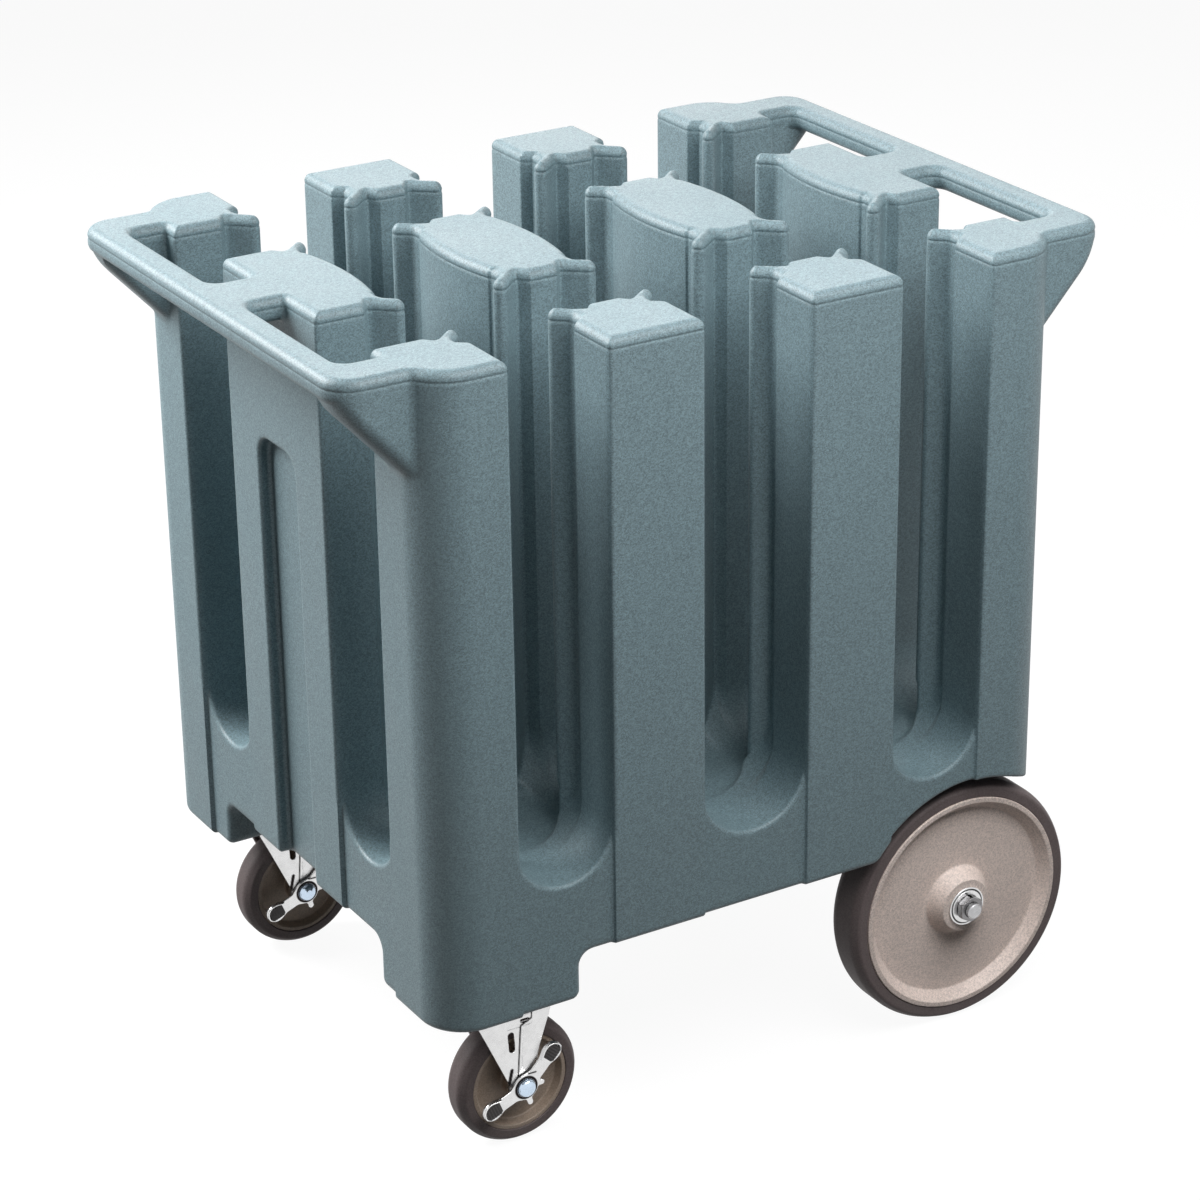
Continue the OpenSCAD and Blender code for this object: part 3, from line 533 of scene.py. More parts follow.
def moulded(name, shape, xs, ys, zs, triangles):
    """A mesh of the surface where shape is zero, thinned to a number of triangles, with exact normals."""
    points, quads = skin_of(shape, xs, ys, zs)
    points = settle(shape, points, 2)
    mesh = bpy.data.meshes.new(name)
    mesh.from_pydata(points.tolist(), [], quads.tolist())
    share = triangles / (2 * len(quads))
    if share < 1:
        thick = bpy.data.objects.new(name + "_thick", mesh)
        bpy.context.scene.collection.objects.link(thick)
        thin = thick.modifiers.new("Thin", "DECIMATE")
        thin.ratio = share
        thinned = bpy.data.meshes.new_from_object(thick.evaluated_get(bpy.context.evaluated_depsgraph_get()))
        bpy.data.objects.remove(thick)
        bpy.data.meshes.remove(mesh)
        mesh = thinned
        mesh.name = name
        points = settle(shape, mesh_points(mesh), 1)
        mesh.vertices.foreach_set("co", points.ravel())
    slope = slope_of(shape, points)
    slope /= np.maximum(np.linalg.norm(slope, axis=1), 1e-9)[:, None]
    mesh.polygons.foreach_set("use_smooth", [True] * len(mesh.polygons))
    mesh.normals_split_custom_set_from_vertices(slope.tolist())
    mesh.update()
    return mesh


def store_painted_shade(mesh, shade):
    """Stores painted shade from 0 to 1 at a mesh's points, which its finish paints dark."""
    store = mesh.attributes.new("shade", "FLOAT", "POINT")
    store.data.foreach_set("value", np.clip(shade(*mesh_points(mesh).T), 0, 1))


def rounded_section(corners):
    """Points of a closed section from corners of (distance from the axis, height, rounding)."""
    points = []
    for i, (x, y, rounding) in enumerate(corners):
        here = Vector((x, y))
        before, after = (Vector(corners[j % len(corners)][:2]) - here for j in (i - 1, i + 1))
        if rounding <= 0:
            points.append(here)
            continue
        half = before.angle(after) / 2
        cut = min(rounding / math.tan(half), LARGEST_CUT * before.length, LARGEST_CUT * after.length)
        radius = cut * math.tan(half)
        start, end = here + before.normalized() * cut, here + after.normalized() * cut
        centre = here + (before.normalized() + after.normalized()).normalized() * radius / math.sin(half)
        steps = max(2, math.ceil((math.pi - 2 * half) / ARC_STEP))
        points.append(start + before.normalized() * min(SUPPORT * cut, LARGEST_SUPPORT * before.length))
        for step in range(steps + 1):
            share = step / steps
            swing = (start - centre).lerp(end - centre, share)
            points.append(centre + swing.normalized() * radius)
        points.append(end + after.normalized() * min(SUPPORT * cut, LARGEST_SUPPORT * after.length))
    return points


def put(tree, kind, inputs=None, **settings):
    """Adds a node to a tree, with a value or another node's output on each named input."""
    made = tree.nodes.new(kind)
    for name, value in settings.items():
        setattr(made, name, value)
    for name, value in (inputs or {}).items():
        socket = made.inputs[name]
        if isinstance(value, bpy.types.NodeSocket):
            tree.links.new(value, socket)
        else:
            socket.default_value = value
    return made


def maths(tree, operation, *values, clamp=False):
    """The result of a sum on values or other nodes' outputs."""
    return put(tree, "ShaderNodeMath", dict(enumerate(values)), operation=operation, use_clamp=clamp).outputs[0]


def place_on(tree):
    """The object's own coordinates."""
    return put(tree, "ShaderNodeTexCoord").outputs["Object"]


def new_tree(name, kind, inputs, outputs):
    """A node tree with named inputs and outputs, its input node and its output node."""
    tree = bpy.data.node_groups.new(name, kind)
    for socket, (socket_kind, default) in inputs.items():
        made = tree.interface.new_socket(name=socket, in_out="INPUT", socket_type=socket_kind)
        if default is not None:
            made.default_value = default
    for socket, socket_kind in outputs.items():
        tree.interface.new_socket(name=socket, in_out="OUTPUT", socket_type=socket_kind)
    return tree, tree.nodes.new("NodeGroupInput").outputs, tree.nodes.new("NodeGroupOutput").inputs


def lay_in_place(tree, shape, given, result):
    """Ends a tree: turns and places the shape, gives it its finish and makes it real."""
    turn = put(tree, "FunctionNodeEulerToRotation", {"Euler": given["Turn"]})
    placed = put(tree, "GeometryNodeTransform", {"Geometry": shape, "Translation": given["Place"]})
    tree.links.new(turn.outputs[0], placed.inputs["Rotation"])
    finished = put(tree, "GeometryNodeSetMaterial", {"Geometry": placed.outputs[0], "Material": given["Finish"]})
    real = put(tree, "GeometryNodeRealizeInstances", {"Geometry": finished.outputs[0]})
    tree.links.new(real.outputs[0], result["Geometry"])


PLACED = {
    "Turn": ("NodeSocketVector", None),
    "Place": ("NodeSocketVector", None),
    "Finish": ("NodeSocketMaterial", None),
}
MADE = {"Geometry": "NodeSocketGeometry"}


def ring_tree():
    """Sweeps the piece's own section once round an axis."""
    inputs = {
        "Section": ("NodeSocketGeometry", None),
        "Sweep Radius": ("NodeSocketFloat", 0.05),
        "Segments": ("NodeSocketInt", 128),
    }
    tree, given, result = new_tree("SweptRing", "GeometryNodeTree", inputs | PLACED, MADE)
    values = {"Resolution": given["Segments"], "Radius": given["Sweep Radius"]}
    path = put(tree, "GeometryNodeCurvePrimitiveCircle", values)
    section = put(tree, "GeometryNodeMeshToCurve", {"Mesh": given["Section"]})
    values = {"Curve": path.outputs["Curve"], "Profile Curve": section.outputs[0]}
    swept = put(tree, "GeometryNodeCurveToMesh", values)
    closed = put(tree, "GeometryNodeMergeByDistance", {"Geometry": swept.outputs[0], "Distance": 1e-6})
    lay_in_place(tree, closed.outputs[0], given, result)
    return tree


def round_row_tree():
    """Repeats the piece's own mesh at equal turns round an axis."""
    inputs = {
        "Piece": ("NodeSocketGeometry", None),
        "Ring Radius": ("NodeSocketFloat", 0.02),
        "Count": ("NodeSocketInt", 8),
    }
    tree, given, result = new_tree("RoundRow", "GeometryNodeTree", inputs | PLACED, MADE)
    ring = put(tree, "GeometryNodeMeshCircle", {"Vertices": given["Count"], "Radius": given["Ring Radius"]})
    index = put(tree, "GeometryNodeInputIndex")
    angle = maths(tree, "MULTIPLY", maths(tree, "DIVIDE", index.outputs[0], given["Count"]), TURN)
    euler = put(tree, "ShaderNodeCombineXYZ", {"Z": angle})
    turn = put(tree, "FunctionNodeEulerToRotation", {"Euler": euler.outputs[0]})
    values = {"Points": ring.outputs["Mesh"], "Instance": given["Piece"], "Rotation": turn.outputs[0]}
    row = put(tree, "GeometryNodeInstanceOnPoints", values)
    lay_in_place(tree, row.outputs[0], given, result)
    return tree


def four_corner_tree():
    """Repeats the piece's own mesh at the four corners of a rectangle."""
    inputs = {
        "Piece": ("NodeSocketGeometry", None),
        "Length": ("NodeSocketFloat", 0.07),
        "Width": ("NodeSocketFloat", 0.05),
    }
    tree, given, result = new_tree("FourCorners", "GeometryNodeTree", inputs | PLACED, MADE)
    values = {"Size X": given["Length"], "Size Y": given["Width"], "Vertices X": 2, "Vertices Y": 2}
    grid = put(tree, "GeometryNodeMeshGrid", values)
    row = put(tree, "GeometryNodeInstanceOnPoints", {"Points": grid.outputs["Mesh"], "Instance": given["Piece"]})
    lay_in_place(tree, row.outputs[0], given, result)
    return tree


def tree_named(name, build):
    """A node tree that is built the first time it is asked for."""
    return bpy.data.node_groups.get(name) or build()


def show(name, mesh):
    """Puts a mesh in the scene as a piece."""
    piece = bpy.data.objects.new(name, mesh)
    bpy.context.scene.collection.objects.link(piece)
    return piece


def grown(name, start, tree, values):
    """A piece that a node tree makes from a starting mesh, turned into a plain mesh."""
    piece = show(name, start)
    maker = piece.modifiers.new("Maker", "NODES")
    maker.node_group = tree
    for item in tree.interface.items_tree:
        if item.in_out == "INPUT" and item.name in values:
            maker[item.identifier] = values[item.name]
    made = bpy.data.meshes.new_from_object(piece.evaluated_get(bpy.context.evaluated_depsgraph_get()))
    piece.modifiers.remove(maker)
    piece.data = made
    made.name = name
    bpy.data.meshes.remove(start)
    if not made.polygons:
        raise RuntimeError(name + " came out empty")
    made.polygons.foreach_set("use_smooth", [True] * len(made.polygons))
    return piece


def mirrored(corners):
    """A whole section from the corners of its upper half, first the lower half and then the upper."""
    return [(x, -y, rounding) for x, y, rounding in corners] + corners[::-1]


def tyre_section(low, high, rim, drop, share, roundings):
    """Section of a tyre with shoulders at a drop below the tread, which is flat over a share of the width."""
    radius, half = (high.z - low.z) / 2, (high.y - low.y) / 2
    side = ((rim, half), (radius - drop, half), (radius, half * share))
    return mirrored([(*corner, rounding) for corner, rounding in zip(side, roundings)])


def swept_ring(name, corners, turn, place, finish, segments=WHEEL_SEGMENTS):
    """A piece turned round an axis from a section of (radius, height, rounding) corners."""
    points = rounded_section(corners)
    middle = sum(p.x for p in points) / len(points)
    mesh = bpy.data.meshes.new(name + "_section")
    edges = [(i, (i + 1) % len(points)) for i in range(len(points))]
    mesh.from_pydata([(p.x - middle, -p.y, 0) for p in points], edges, [])
    values = {"Sweep Radius": middle, "Segments": segments, "Turn": turn, "Place": place, "Finish": finish}
    piece = grown(name, mesh, tree_named("SweptRing", ring_tree), values)
    face_outwards(piece.data)
    return piece


def face_outwards(mesh):
    """Turns a closed mesh the right way out when its volume comes out negative."""
    build = bmesh.new()
    build.from_mesh(mesh)
    if build.calc_volume(signed=True) < 0:
        bmesh.ops.reverse_faces(build, faces=build.faces)
        build.to_mesh(mesh)
    build.free()


def wheel_turn(outwards):
    """Turn that lays a wheel's axis, up in its own frame, along Y."""
    return (-outwards * math.pi / 2, 0.0, 0.0)


def shifted(name, mesh, offset):
    """A copy of a mesh, moved and still with its exact normals."""
    copy = mesh.copy()
    copy.name = name
    copy.transform(Matrix.Translation(offset))
    return copy


def slab(name, size, bevel):
    """A box with softened edges, centred on its own origin."""
    build = bmesh.new()
    bmesh.ops.create_cube(build, size=1.0)
    bmesh.ops.scale(build, vec=size, verts=build.verts)
    bmesh.ops.bevel(build, geom=build.edges[:], offset=bevel, segments=2, affect="EDGES", profile=0.5)
    mesh = bpy.data.meshes.new(name)
    build.to_mesh(mesh)
    build.free()
    return mesh


def joined(first, second):
    """Two pieces as one mesh."""
    build = bmesh.new()
    build.from_mesh(first.data)
    build.from_mesh(second.data)
    build.to_mesh(first.data)
    build.free()
    bpy.data.objects.remove(second)
    first.data.set_sharp_from_angle(angle=SHARP)
    return first


def beside_line(x, z, first, second):
    """Distance to the right of a line from a first point to a second one, both (x, height)."""
    run, rise = second[0] - first[0], second[1] - first[1]
    return ((x - first[0]) * rise - (z - first[1]) * run) / math.hypot(run, rise)


def capsule(x, z, first, second, radius):
    """Distance to a bar with round ends between two points."""
    run, rise = second[0] - first[0], second[1] - first[1]
    share = np.clip(((x - first[0]) * run + (z - first[1]) * rise) / (run * run + rise * rise), 0, 1)
    return np.hypot(x - first[0] - share * run, z - first[1] - share * rise) - radius


def fork_shape(x, y, z):
    """Distance to the left caster's fork: a crown and two pressed V-shaped legs."""
    fork = bpy.context.scene.cart_caster
    u, v = x - SWIVEL.x, y - SWIVEL.y
    outer = fork.leg_in + fork.sheet
    axle_x, axle_z = CASTER_AXLE.x - SWIVEL.x, CASTER_AXLE.z
    waist = axle_z + 0.28 * (CROWN_TOP - axle_z)
    front = -beside_line(u, z, (axle_x - fork.leg_axle, axle_z), (-fork.leg_front, CROWN_TOP))
    back = beside_line(u, z, (axle_x + fork.leg_axle, waist), (fork.leg_back, CROWN_TOP - fork.sheet))
    back = rounded_min(back, u - axle_x - fork.leg_axle, 0.006)
    outline = rounded_max(rounded_max(front, back, 0.001), axle_z - z, 0.001)
    outline = rounded_min(outline, np.hypot(u - axle_x, z - axle_z) - fork.leg_axle, 0.003)
    outline = rounded_max(outline, u - fork.leg_back, 0.004)

    past_crease = u - axle_x + 0.004 - 0.06 * (z - axle_z)
    shown = ramp(-z, -axle_z - 0.022, -axle_z - 0.016) * ramp(z, CROWN_TOP - 0.022, CROWN_TOP - 0.014)
    valley = np.exp(-(((past_crease + 0.0022) / 0.0009) ** 2))
    ridge = np.exp(-np.abs(past_crease) / fork.crease_width) - 0.8 * valley
    past_end, past_top = np.abs(u - axle_x + 0.004) - fork.bracket, np.abs(z - CROWN_TOP + fork.bracket_drop)
    bracket = rounded_box(past_end, past_top - fork.bracket_half, 0.003)
    pressed = fork.crease * (shown * ridge + 0.9 * ramp(bracket, -SHEET_EDGE, SHEET_EDGE))
    leg = rounded_max(np.abs(v) - outer - pressed, fork.leg_in - np.abs(v), SHEET_EDGE)
    leg = rounded_max(leg, outline, 0.0008)
    slot_low, slot_high = (-fork.slot_front, fork.slot_low), (-fork.slot_front - 0.001, fork.slot_high)
    slot = capsule(u - axle_x, z - axle_z, slot_low, slot_high, fork.slot)
    window = rounded_box(np.abs(u - axle_x - 0.002) - 0.0045, past_top - 0.002, 0.0012)
    leg = rounded_max(leg, -np.minimum(slot, window), 0.0005)

    plate_x, plate_half = (fork.leg_back - fork.leg_front) / 2, (fork.leg_back + fork.leg_front) / 2
    plate = rounded_box(np.abs(u - plate_x) - plate_half, np.abs(v) - outer, 0.003)
    crown = np.minimum(plate, np.hypot(u, v) - fork.crown)
    crown = rounded_max(crown, np.abs(z - CROWN_TOP + fork.sheet / 2) - fork.sheet / 2, 0.0007)
    whole = rounded_min(leg, crown, 0.0025)
    whole = rounded_max(whole, rounded_max(np.abs(v) - outer - pressed, z - CROWN_TOP, 0.0035), 0.0002)
    whole = np.where(np.hypot(u, v) < fork.crown + 0.001, np.minimum(whole, crown), whole)
    bore = np.hypot(u - axle_x, z - axle_z) - BOLT_RADIUS
    kingpin = np.hypot(u, v) - KINGPIN_RADIUS
    return rounded_max(rounded_max(whole, -bore, 0.0004), -kingpin, 0.0004)


def fork_painted_shade(x, y, z):
    """Painted shade: dark lines where the left caster's fork is creased, pressed and overlapped by its bracket,
    standing in for the shade that falls there.
    """
    fork = bpy.context.scene.cart_caster
    u, v = x - CASTER_AXLE.x, z - CASTER_AXLE.z
    high = CROWN_TOP - CASTER_AXLE.z
    # Painted shade: each line is a dark band painted on the leg's outer face where shade would fall.
    lines = [
        ((-0.0058, 0.012), (-0.0022, high - 0.017), 0.0005),
        ((-0.0022, high - 0.017), (0.009, high - 0.012), 0.0007),
        ((0.009, high - 0.012), (0.010, high - 0.004), 0.0006),
        ((-0.0075, high - 0.004), (0.002, high - 0.004), 0.0007),
        ((-0.0160, 0.004), (-0.0125, 0.020), 0.0016),
    ]
    apart = np.min([capsule(u, v, first, second, width) for first, second, width in lines], axis=0)
    outside = np.abs(y - CASTER_AXLE.y) > fork.leg_in + fork.sheet / 2
    return np.where(outside, ramp(apart, 0.0, 0.0007), 0)


def from_pedal_foot(x, y, z):
    """Place from the left axle bolt: along the cart, up, and out from the foot of the pedal."""
    fork = bpy.context.scene.cart_caster
    out = -(y - CASTER_AXLE.y) - fork.leg_in - fork.sheet - fork.pedal_gap
    return x - CASTER_AXLE.x, z - CASTER_AXLE.z, out


def pedal_plan(p, q):
    """Distance to the outline of a brake pedal, from the axle bolt's middle."""
    fork = bpy.context.scene.cart_caster
    plan = np.hypot(p, q) - fork.pedal_hub
    for end, tab in zip(PEDAL_ENDS, PEDAL_TABS):
        arm = capsule(p, q, (0, 0), end, fork.pedal_arm / 2)
        plan = rounded_min(plan, arm, 0.005)
        plan = rounded_min(plan, np.hypot(p - end[0], q - end[1]) - fork.pedal_end, 0.004)
        plan = rounded_min(plan, capsule(p, q, (0, 0), tab, 0.0028), 0.002)
    return plan


def pedal_shape(x, y, z):
    """Distance to the left brake pedal: a waved rocker plate with a lip round each end."""
    fork = bpy.context.scene.cart_caster
    p, q, out = from_pedal_foot(x, y, z)
    plan = pedal_plan(p, q)
    away = np.hypot(p, q)
    wave = fork.wave * ramp(-away, -fork.pedal_hub - fork.wave_run, -fork.pedal_hub)
    plate = rounded_max(plan, np.abs(out - wave - fork.pedal / 2) - fork.pedal / 2, SHEET_EDGE)
    past_lip = np.abs(out - fork.pedal_lip / 2 - wave) - fork.pedal_lip / 2
    lip = rounded_max(np.abs(plan + fork.lip_half) - fork.lip_half, past_lip, 0.0005)
    near_end = np.full_like(plan, 1.0)
    for end, side in zip(PEDAL_ENDS, (-1, 1)):
        reach = math.hypot(*end)
        along = (p * end[0] + q * end[1]) / reach
        across = side * (p * end[1] - q * end[0]) / reach
        near_end = np.minimum(near_end, np.maximum(reach - 0.012 - along, -0.004 - across))
    lip = rounded_max(lip, near_end, 0.001)
    whole = rounded_min(plate, lip, 0.0012)
    past_collar = np.abs(away - fork.collar) - fork.collar_half
    collar = rounded_max(past_collar, out - fork.pedal - fork.collar_rise, 0.0003)
    whole = rounded_min(whole, np.maximum(collar, -out), 0.0004)
    return rounded_max(whole, BOLT_RADIUS - away, 0.0004)


def pedal_painted_shade(x, y, z):
    """Painted shade: a dark ring round the bolt cap on the left pedal, where the gap under the cap is in shadow, and
    a dark band beside its tabs.
    """
    p, q, out = from_pedal_foot(x, y, z)
    collar = np.abs(np.hypot(p, q) - 0.0108) - 0.0010
    apart = np.minimum(collar, capsule(p, q, (0.003, 0.014), (0.010, 0.014), 0.0006))
    return np.where(out > bpy.context.scene.cart_caster.pedal / 2, ramp(apart, 0.0, 0.0006), 0)


def pad_shape(x, y, z):
    """Distance to the two ridged pads on the left brake pedal."""
    fork = bpy.context.scene.cart_caster
    p, q, out = from_pedal_foot(x, y, z)
    out = out - fork.pedal - fork.pad_seat
    pads = None
    for end in PEDAL_ENDS:
        reach = math.hypot(*end)
        along = (p * end[0] + q * end[1]) / reach - reach + 0.0005
        across = (p * end[1] - q * end[0]) / reach
        face = rounded_box(np.abs(along) - fork.pad_length, np.abs(across) - fork.pad_width, 0.0030)
        crown = 0.0005 * (along / fork.pad_length) ** 2 + 0.0004 * (across / fork.pad_width) ** 2
        height = fork.pad - crown + 0.00025 * np.cos(along * TURN / fork.pad_ridge)
        pad = rounded_max(face, np.maximum(out - height, -out), SHEET_EDGE)
        pads = pad if pads is None else np.minimum(pads, pad)
    return pads


def nut_shape(x, y, z):
    """Distance to the left axle nut: a hexagon with chamfered corners and a round collar."""
    wheels = bpy.context.scene.cart_wheels
    across, up, out = x - NUT_MIDDLE.x, z - NUT_MIDDLE.z, NUT_OUT - np.abs(y)
    half, height = wheels.nut / 2, NUT_OUT - NUT_IN
    hexagon = -np.inf
    for step in range(3):
        angle = step * math.pi / 3
        hexagon = np.maximum(hexagon, np.abs(across * math.cos(angle) + up * math.sin(angle)) - half)
    away = np.hypot(across, up)
    past_round = away - half - NUT_ROUND
    chamfer = (past_round - NUT_SLOPE * np.minimum(out, height - out)) / math.hypot(1, NUT_SLOPE)
    body = rounded_max(rounded_max(hexagon, chamfer, 0.0003), np.maximum(-out, out - height), 0.0002)
    return rounded_max(body, AXLE_RADIUS - away + 0.3 * np.maximum(0, 0.0012 - out), 0.0002)


def hexagon_bolt(name, flats, head, shank, whole):
    """A hexagon bolt that stands on its head, with chamfered corners."""
    build = bmesh.new()
    corner = flats / math.sqrt(3)
    made = []
    for radius, height in ((corner * CHAMFER_IN, 0.0), (corner, head * CHAMFER_UP), (corner, head)):
        turns = (TURN * i / 6 for i in range(6))
        made.append([build.verts.new((radius * math.cos(a), radius * math.sin(a), height)) for a in turns])
    build.faces.new(made[0][::-1])
    for low, high in zip(made, made[1:]):
        for i in range(6):
            build.faces.new((low[i], low[(i + 1) % 6], high[(i + 1) % 6], high[i]))
    build.faces.new(made[-1])
    middle, depth = Matrix.Translation((0, 0, (whole + head / 2) / 2)), whole - head / 2
    sizes = {"segments": 24, "radius1": shank, "radius2": shank, "depth": depth}
    bmesh.ops.create_cone(build, cap_ends=True, matrix=middle, **sizes)
    mesh = bpy.data.meshes.new(name)
    build.to_mesh(mesh)
    build.free()
    return mesh


def cast(name, shape, low, high, step, triangles):
    """A small piece's mesh from its distance, on an even grid round its box."""
    margin = MARGIN_STEPS * step
    planes = [grid_lines(low[i] - margin, (high[i] + margin, step)) for i in range(3)]
    return moulded(name, shape, *planes, triangles)


def grain_group():
    """Moulded plastic: pebbled grain, fine speckle and broad mottling."""
    inputs = {
        "Colour": ("NodeSocketColor", None),
        "Grain": ("NodeSocketFloat", 0.0016),
        "Speckle": ("NodeSocketFloat", 0.2),
        "Mottle": ("NodeSocketFloat", 0.1),
        "Roughness": ("NodeSocketFloat", 0.5),
    }
    outputs = {"Colour": "NodeSocketColor", "Roughness": "NodeSocketFloat", "Height": "NodeSocketFloat"}
    tree, given, result = new_tree("MouldedGrain", "ShaderNodeTree", inputs, outputs)
    place, density = place_on(tree), maths(tree, "DIVIDE", 1.0, given["Grain"])
    values = {"Vector": place, "Scale": density, "Smoothness": 0.7}
    pebbles = put(tree, "ShaderNodeTexVoronoi", values, feature="SMOOTH_F1").outputs["Distance"]
    fine = maths(tree, "MULTIPLY", density, 1.7)
    values = {"Vector": place, "Scale": fine, "Detail": 2.0, "Roughness": 0.6}
    grit = put(tree, "ShaderNodeTexNoise", values).outputs["Fac"]
    tree.links.new(maths(tree, "MULTIPLY_ADD", pebbles, -0.8, grit), result["Height"])
    specks = put(tree, "ShaderNodeTexVoronoi", {"Vector": place, "Scale": density})
    specks = put(tree, "ShaderNodeSeparateColor", {0: specks.outputs["Color"]}).outputs[0]
    spread = maths(tree, "SUBTRACT", maths(tree, "ADD", specks, grit), 1.0)
    values = {"Vector": place, "Scale": 7.0, "Detail": 4.0, "Roughness": 0.55}
    cloud = put(tree, "ShaderNodeTexNoise", values).outputs["Fac"]
    drift = maths(tree, "SUBTRACT", cloud, 0.5)
    speckle = maths(tree, "MULTIPLY_ADD", spread, given["Speckle"], 1.0)
    level = maths(tree, "MULTIPLY_ADD", drift, given["Mottle"], speckle)
    shaded = put(tree, "ShaderNodeVectorMath", {0: given["Colour"], "Scale": level}, operation="SCALE")
    tree.links.new(shaded.outputs[0], result["Colour"])
    tree.links.new(maths(tree, "MULTIPLY_ADD", drift, 0.25, given["Roughness"]), result["Roughness"])
    return tree


def dust_group():
    """Pale dust that gathers in patches near the floor."""
    inputs = {
        "Colour": ("NodeSocketColor", None),
        "Dust Colour": ("NodeSocketColor", (0.42, 0.40, 0.38, 1.0)),
        "Amount": ("NodeSocketFloat", 0.2),
        "Reach": ("NodeSocketFloat", 0.3),
    }
    outputs = {"Colour": "NodeSocketColor", "Mask": "NodeSocketFloat"}
    tree, given, result = new_tree("Dust", "ShaderNodeTree", inputs, outputs)
    place = place_on(tree)
    height = put(tree, "ShaderNodeSeparateXYZ", {0: place}).outputs["Z"]
    low = put(tree, "ShaderNodeMapRange", {"Value": height, "From Min": given["Reach"], "From Max": 0.0})
    values = {"Vector": place, "Scale": 38.0, "Detail": 6.0, "Roughness": 0.65}
    patches = put(tree, "ShaderNodeTexNoise", values).outputs["Fac"]
    soft = put(tree, "ShaderNodeMapRange", {"Value": patches, "From Min": 0.38, "From Max": 0.72})
    mask = maths(tree, "MULTIPLY", low.outputs[0], soft.outputs[0])
    mask = maths(tree, "MULTIPLY", mask, given["Amount"], clamp=True)
    mixed = put(tree, "ShaderNodeMix", {0: mask, 6: given["Colour"], 7: given["Dust Colour"]}, data_type="RGBA")
    tree.links.new(mixed.outputs[2], result["Colour"])
    tree.links.new(mask, result["Mask"])
    return tree


def metal_group():
    """Plated or turned steel: faint spangle, smudges and fine scratches."""
    inputs = {
        "Colour": ("NodeSocketColor", None),
        "Spangle": ("NodeSocketFloat", 0.004),
        "Tarnish": ("NodeSocketFloat", 0.15),
        "Roughness": ("NodeSocketFloat", 0.3),
    }
    outputs = {"Colour": "NodeSocketColor", "Roughness": "NodeSocketFloat", "Height": "NodeSocketFloat"}
    tree, given, result = new_tree("MetalFinish", "ShaderNodeTree", inputs, outputs)
    place, density = place_on(tree), maths(tree, "DIVIDE", 1.0, given["Spangle"])
    cells = put(tree, "ShaderNodeTexVoronoi", {"Vector": place, "Scale": density})
    shade = put(tree, "ShaderNodeSeparateColor", {0: cells.outputs["Color"]}).outputs[0]
    values = {"Vector": place, "Scale": 90.0, "Detail": 5.0, "Roughness": 0.7}
    smudge = put(tree, "ShaderNodeTexNoise", values).outputs["Fac"]
    streaks = put(tree, "ShaderNodeMapping", {"Vector": place, "Scale": (1500.0, 1500.0, 90.0)}).outputs[0]
    lines = put(tree, "ShaderNodeTexNoise", {"Vector": streaks, "Scale": 1.0, "Detail": 2.0})
    stain = put(tree, "ShaderNodeMapRange", {"Value": smudge, "From Min": 0.45, "From Max": 0.8}).outputs[0]
    stain = maths(tree, "MULTIPLY", stain, given["Tarnish"])
    level = maths(tree, "SUBTRACT", maths(tree, "MULTIPLY_ADD", shade, 0.06, 0.97), stain)
    shaded = put(tree, "ShaderNodeVectorMath", {0: given["Colour"], "Scale": level}, operation="SCALE")
    tree.links.new(shaded.outputs[0], result["Colour"])
    rough = maths(tree, "MULTIPLY_ADD", smudge, 0.22, given["Roughness"])
    rough = maths(tree, "MULTIPLY_ADD", shade, 0.05, rough)
    tree.links.new(maths(tree, "SUBTRACT", rough, 0.13, clamp=True), result["Roughness"])
    tree.links.new(lines.outputs["Fac"], result["Height"])
    return tree


def new_material(name, colour):
    """An empty material, its tree and its shader."""
    made = bpy.data.materials.new(name)
    made.use_nodes = True
    made.diffuse_color = (*colour, 1)
    return made, made.node_tree, made.node_tree.nodes["Principled BSDF"]


def rays_of(tree):
    """The kinds of ray, and 1 for those that see the plain backdrop: camera, mirror and glass."""
    seen = put(tree, "ShaderNodeLightPath").outputs
    plain = maths(tree, "MAXIMUM", seen["Is Camera Ray"], seen["Is Glossy Ray"])
    return seen, maths(tree, "MAXIMUM", plain, seen["Is Transmission Ray"])


def raise_bump(tree, shader, height, distance, strength):
    """Lets a height over the surface tilt the shader's normal."""
    bump = put(tree, "ShaderNodeBump", {"Height": height, "Distance": distance, "Strength": strength})
    tree.links.new(bump.outputs[0], shader.inputs["Normal"])


def plastic(name, colour, roughness, grain, depth, speckle, mottle, dust, gloss):
    """A moulded plastic or rubber finish."""
    made, tree, shader = new_material(name, colour)
    values = {"Colour": (*colour, 1), "Grain": grain, "Speckle": speckle, "Mottle": mottle, "Roughness": roughness}
    surface = put(tree, "ShaderNodeGroup", values, node_tree=tree_named("MouldedGrain", grain_group))
    shade = surface.outputs["Colour"]
    if dust:
        values = {"Colour": shade, "Amount": dust}
        shade = put(tree, "ShaderNodeGroup", values, node_tree=tree_named("Dust", dust_group)).outputs["Colour"]
    tree.links.new(shade, shader.inputs["Base Color"])
    tree.links.new(surface.outputs["Roughness"], shader.inputs["Roughness"])
    shader.inputs["Specular IOR Level"].default_value = gloss
    raise_bump(tree, shader, surface.outputs["Height"], depth, 0.6)
    return made


def thread_height(tree, start, half_pitch):
    """Height of a screw thread along Y, past a start."""
    along = put(tree, "ShaderNodeSeparateXYZ", {0: place_on(tree)}).outputs["Y"]
    along = maths(tree, "ABSOLUTE", along)
    inside = maths(tree, "GREATER_THAN", along, start)
    turns = maths(tree, "MULTIPLY", maths(tree, "PINGPONG", along, half_pitch), inside)
    return maths(tree, "MULTIPLY", turns, 1 / half_pitch)


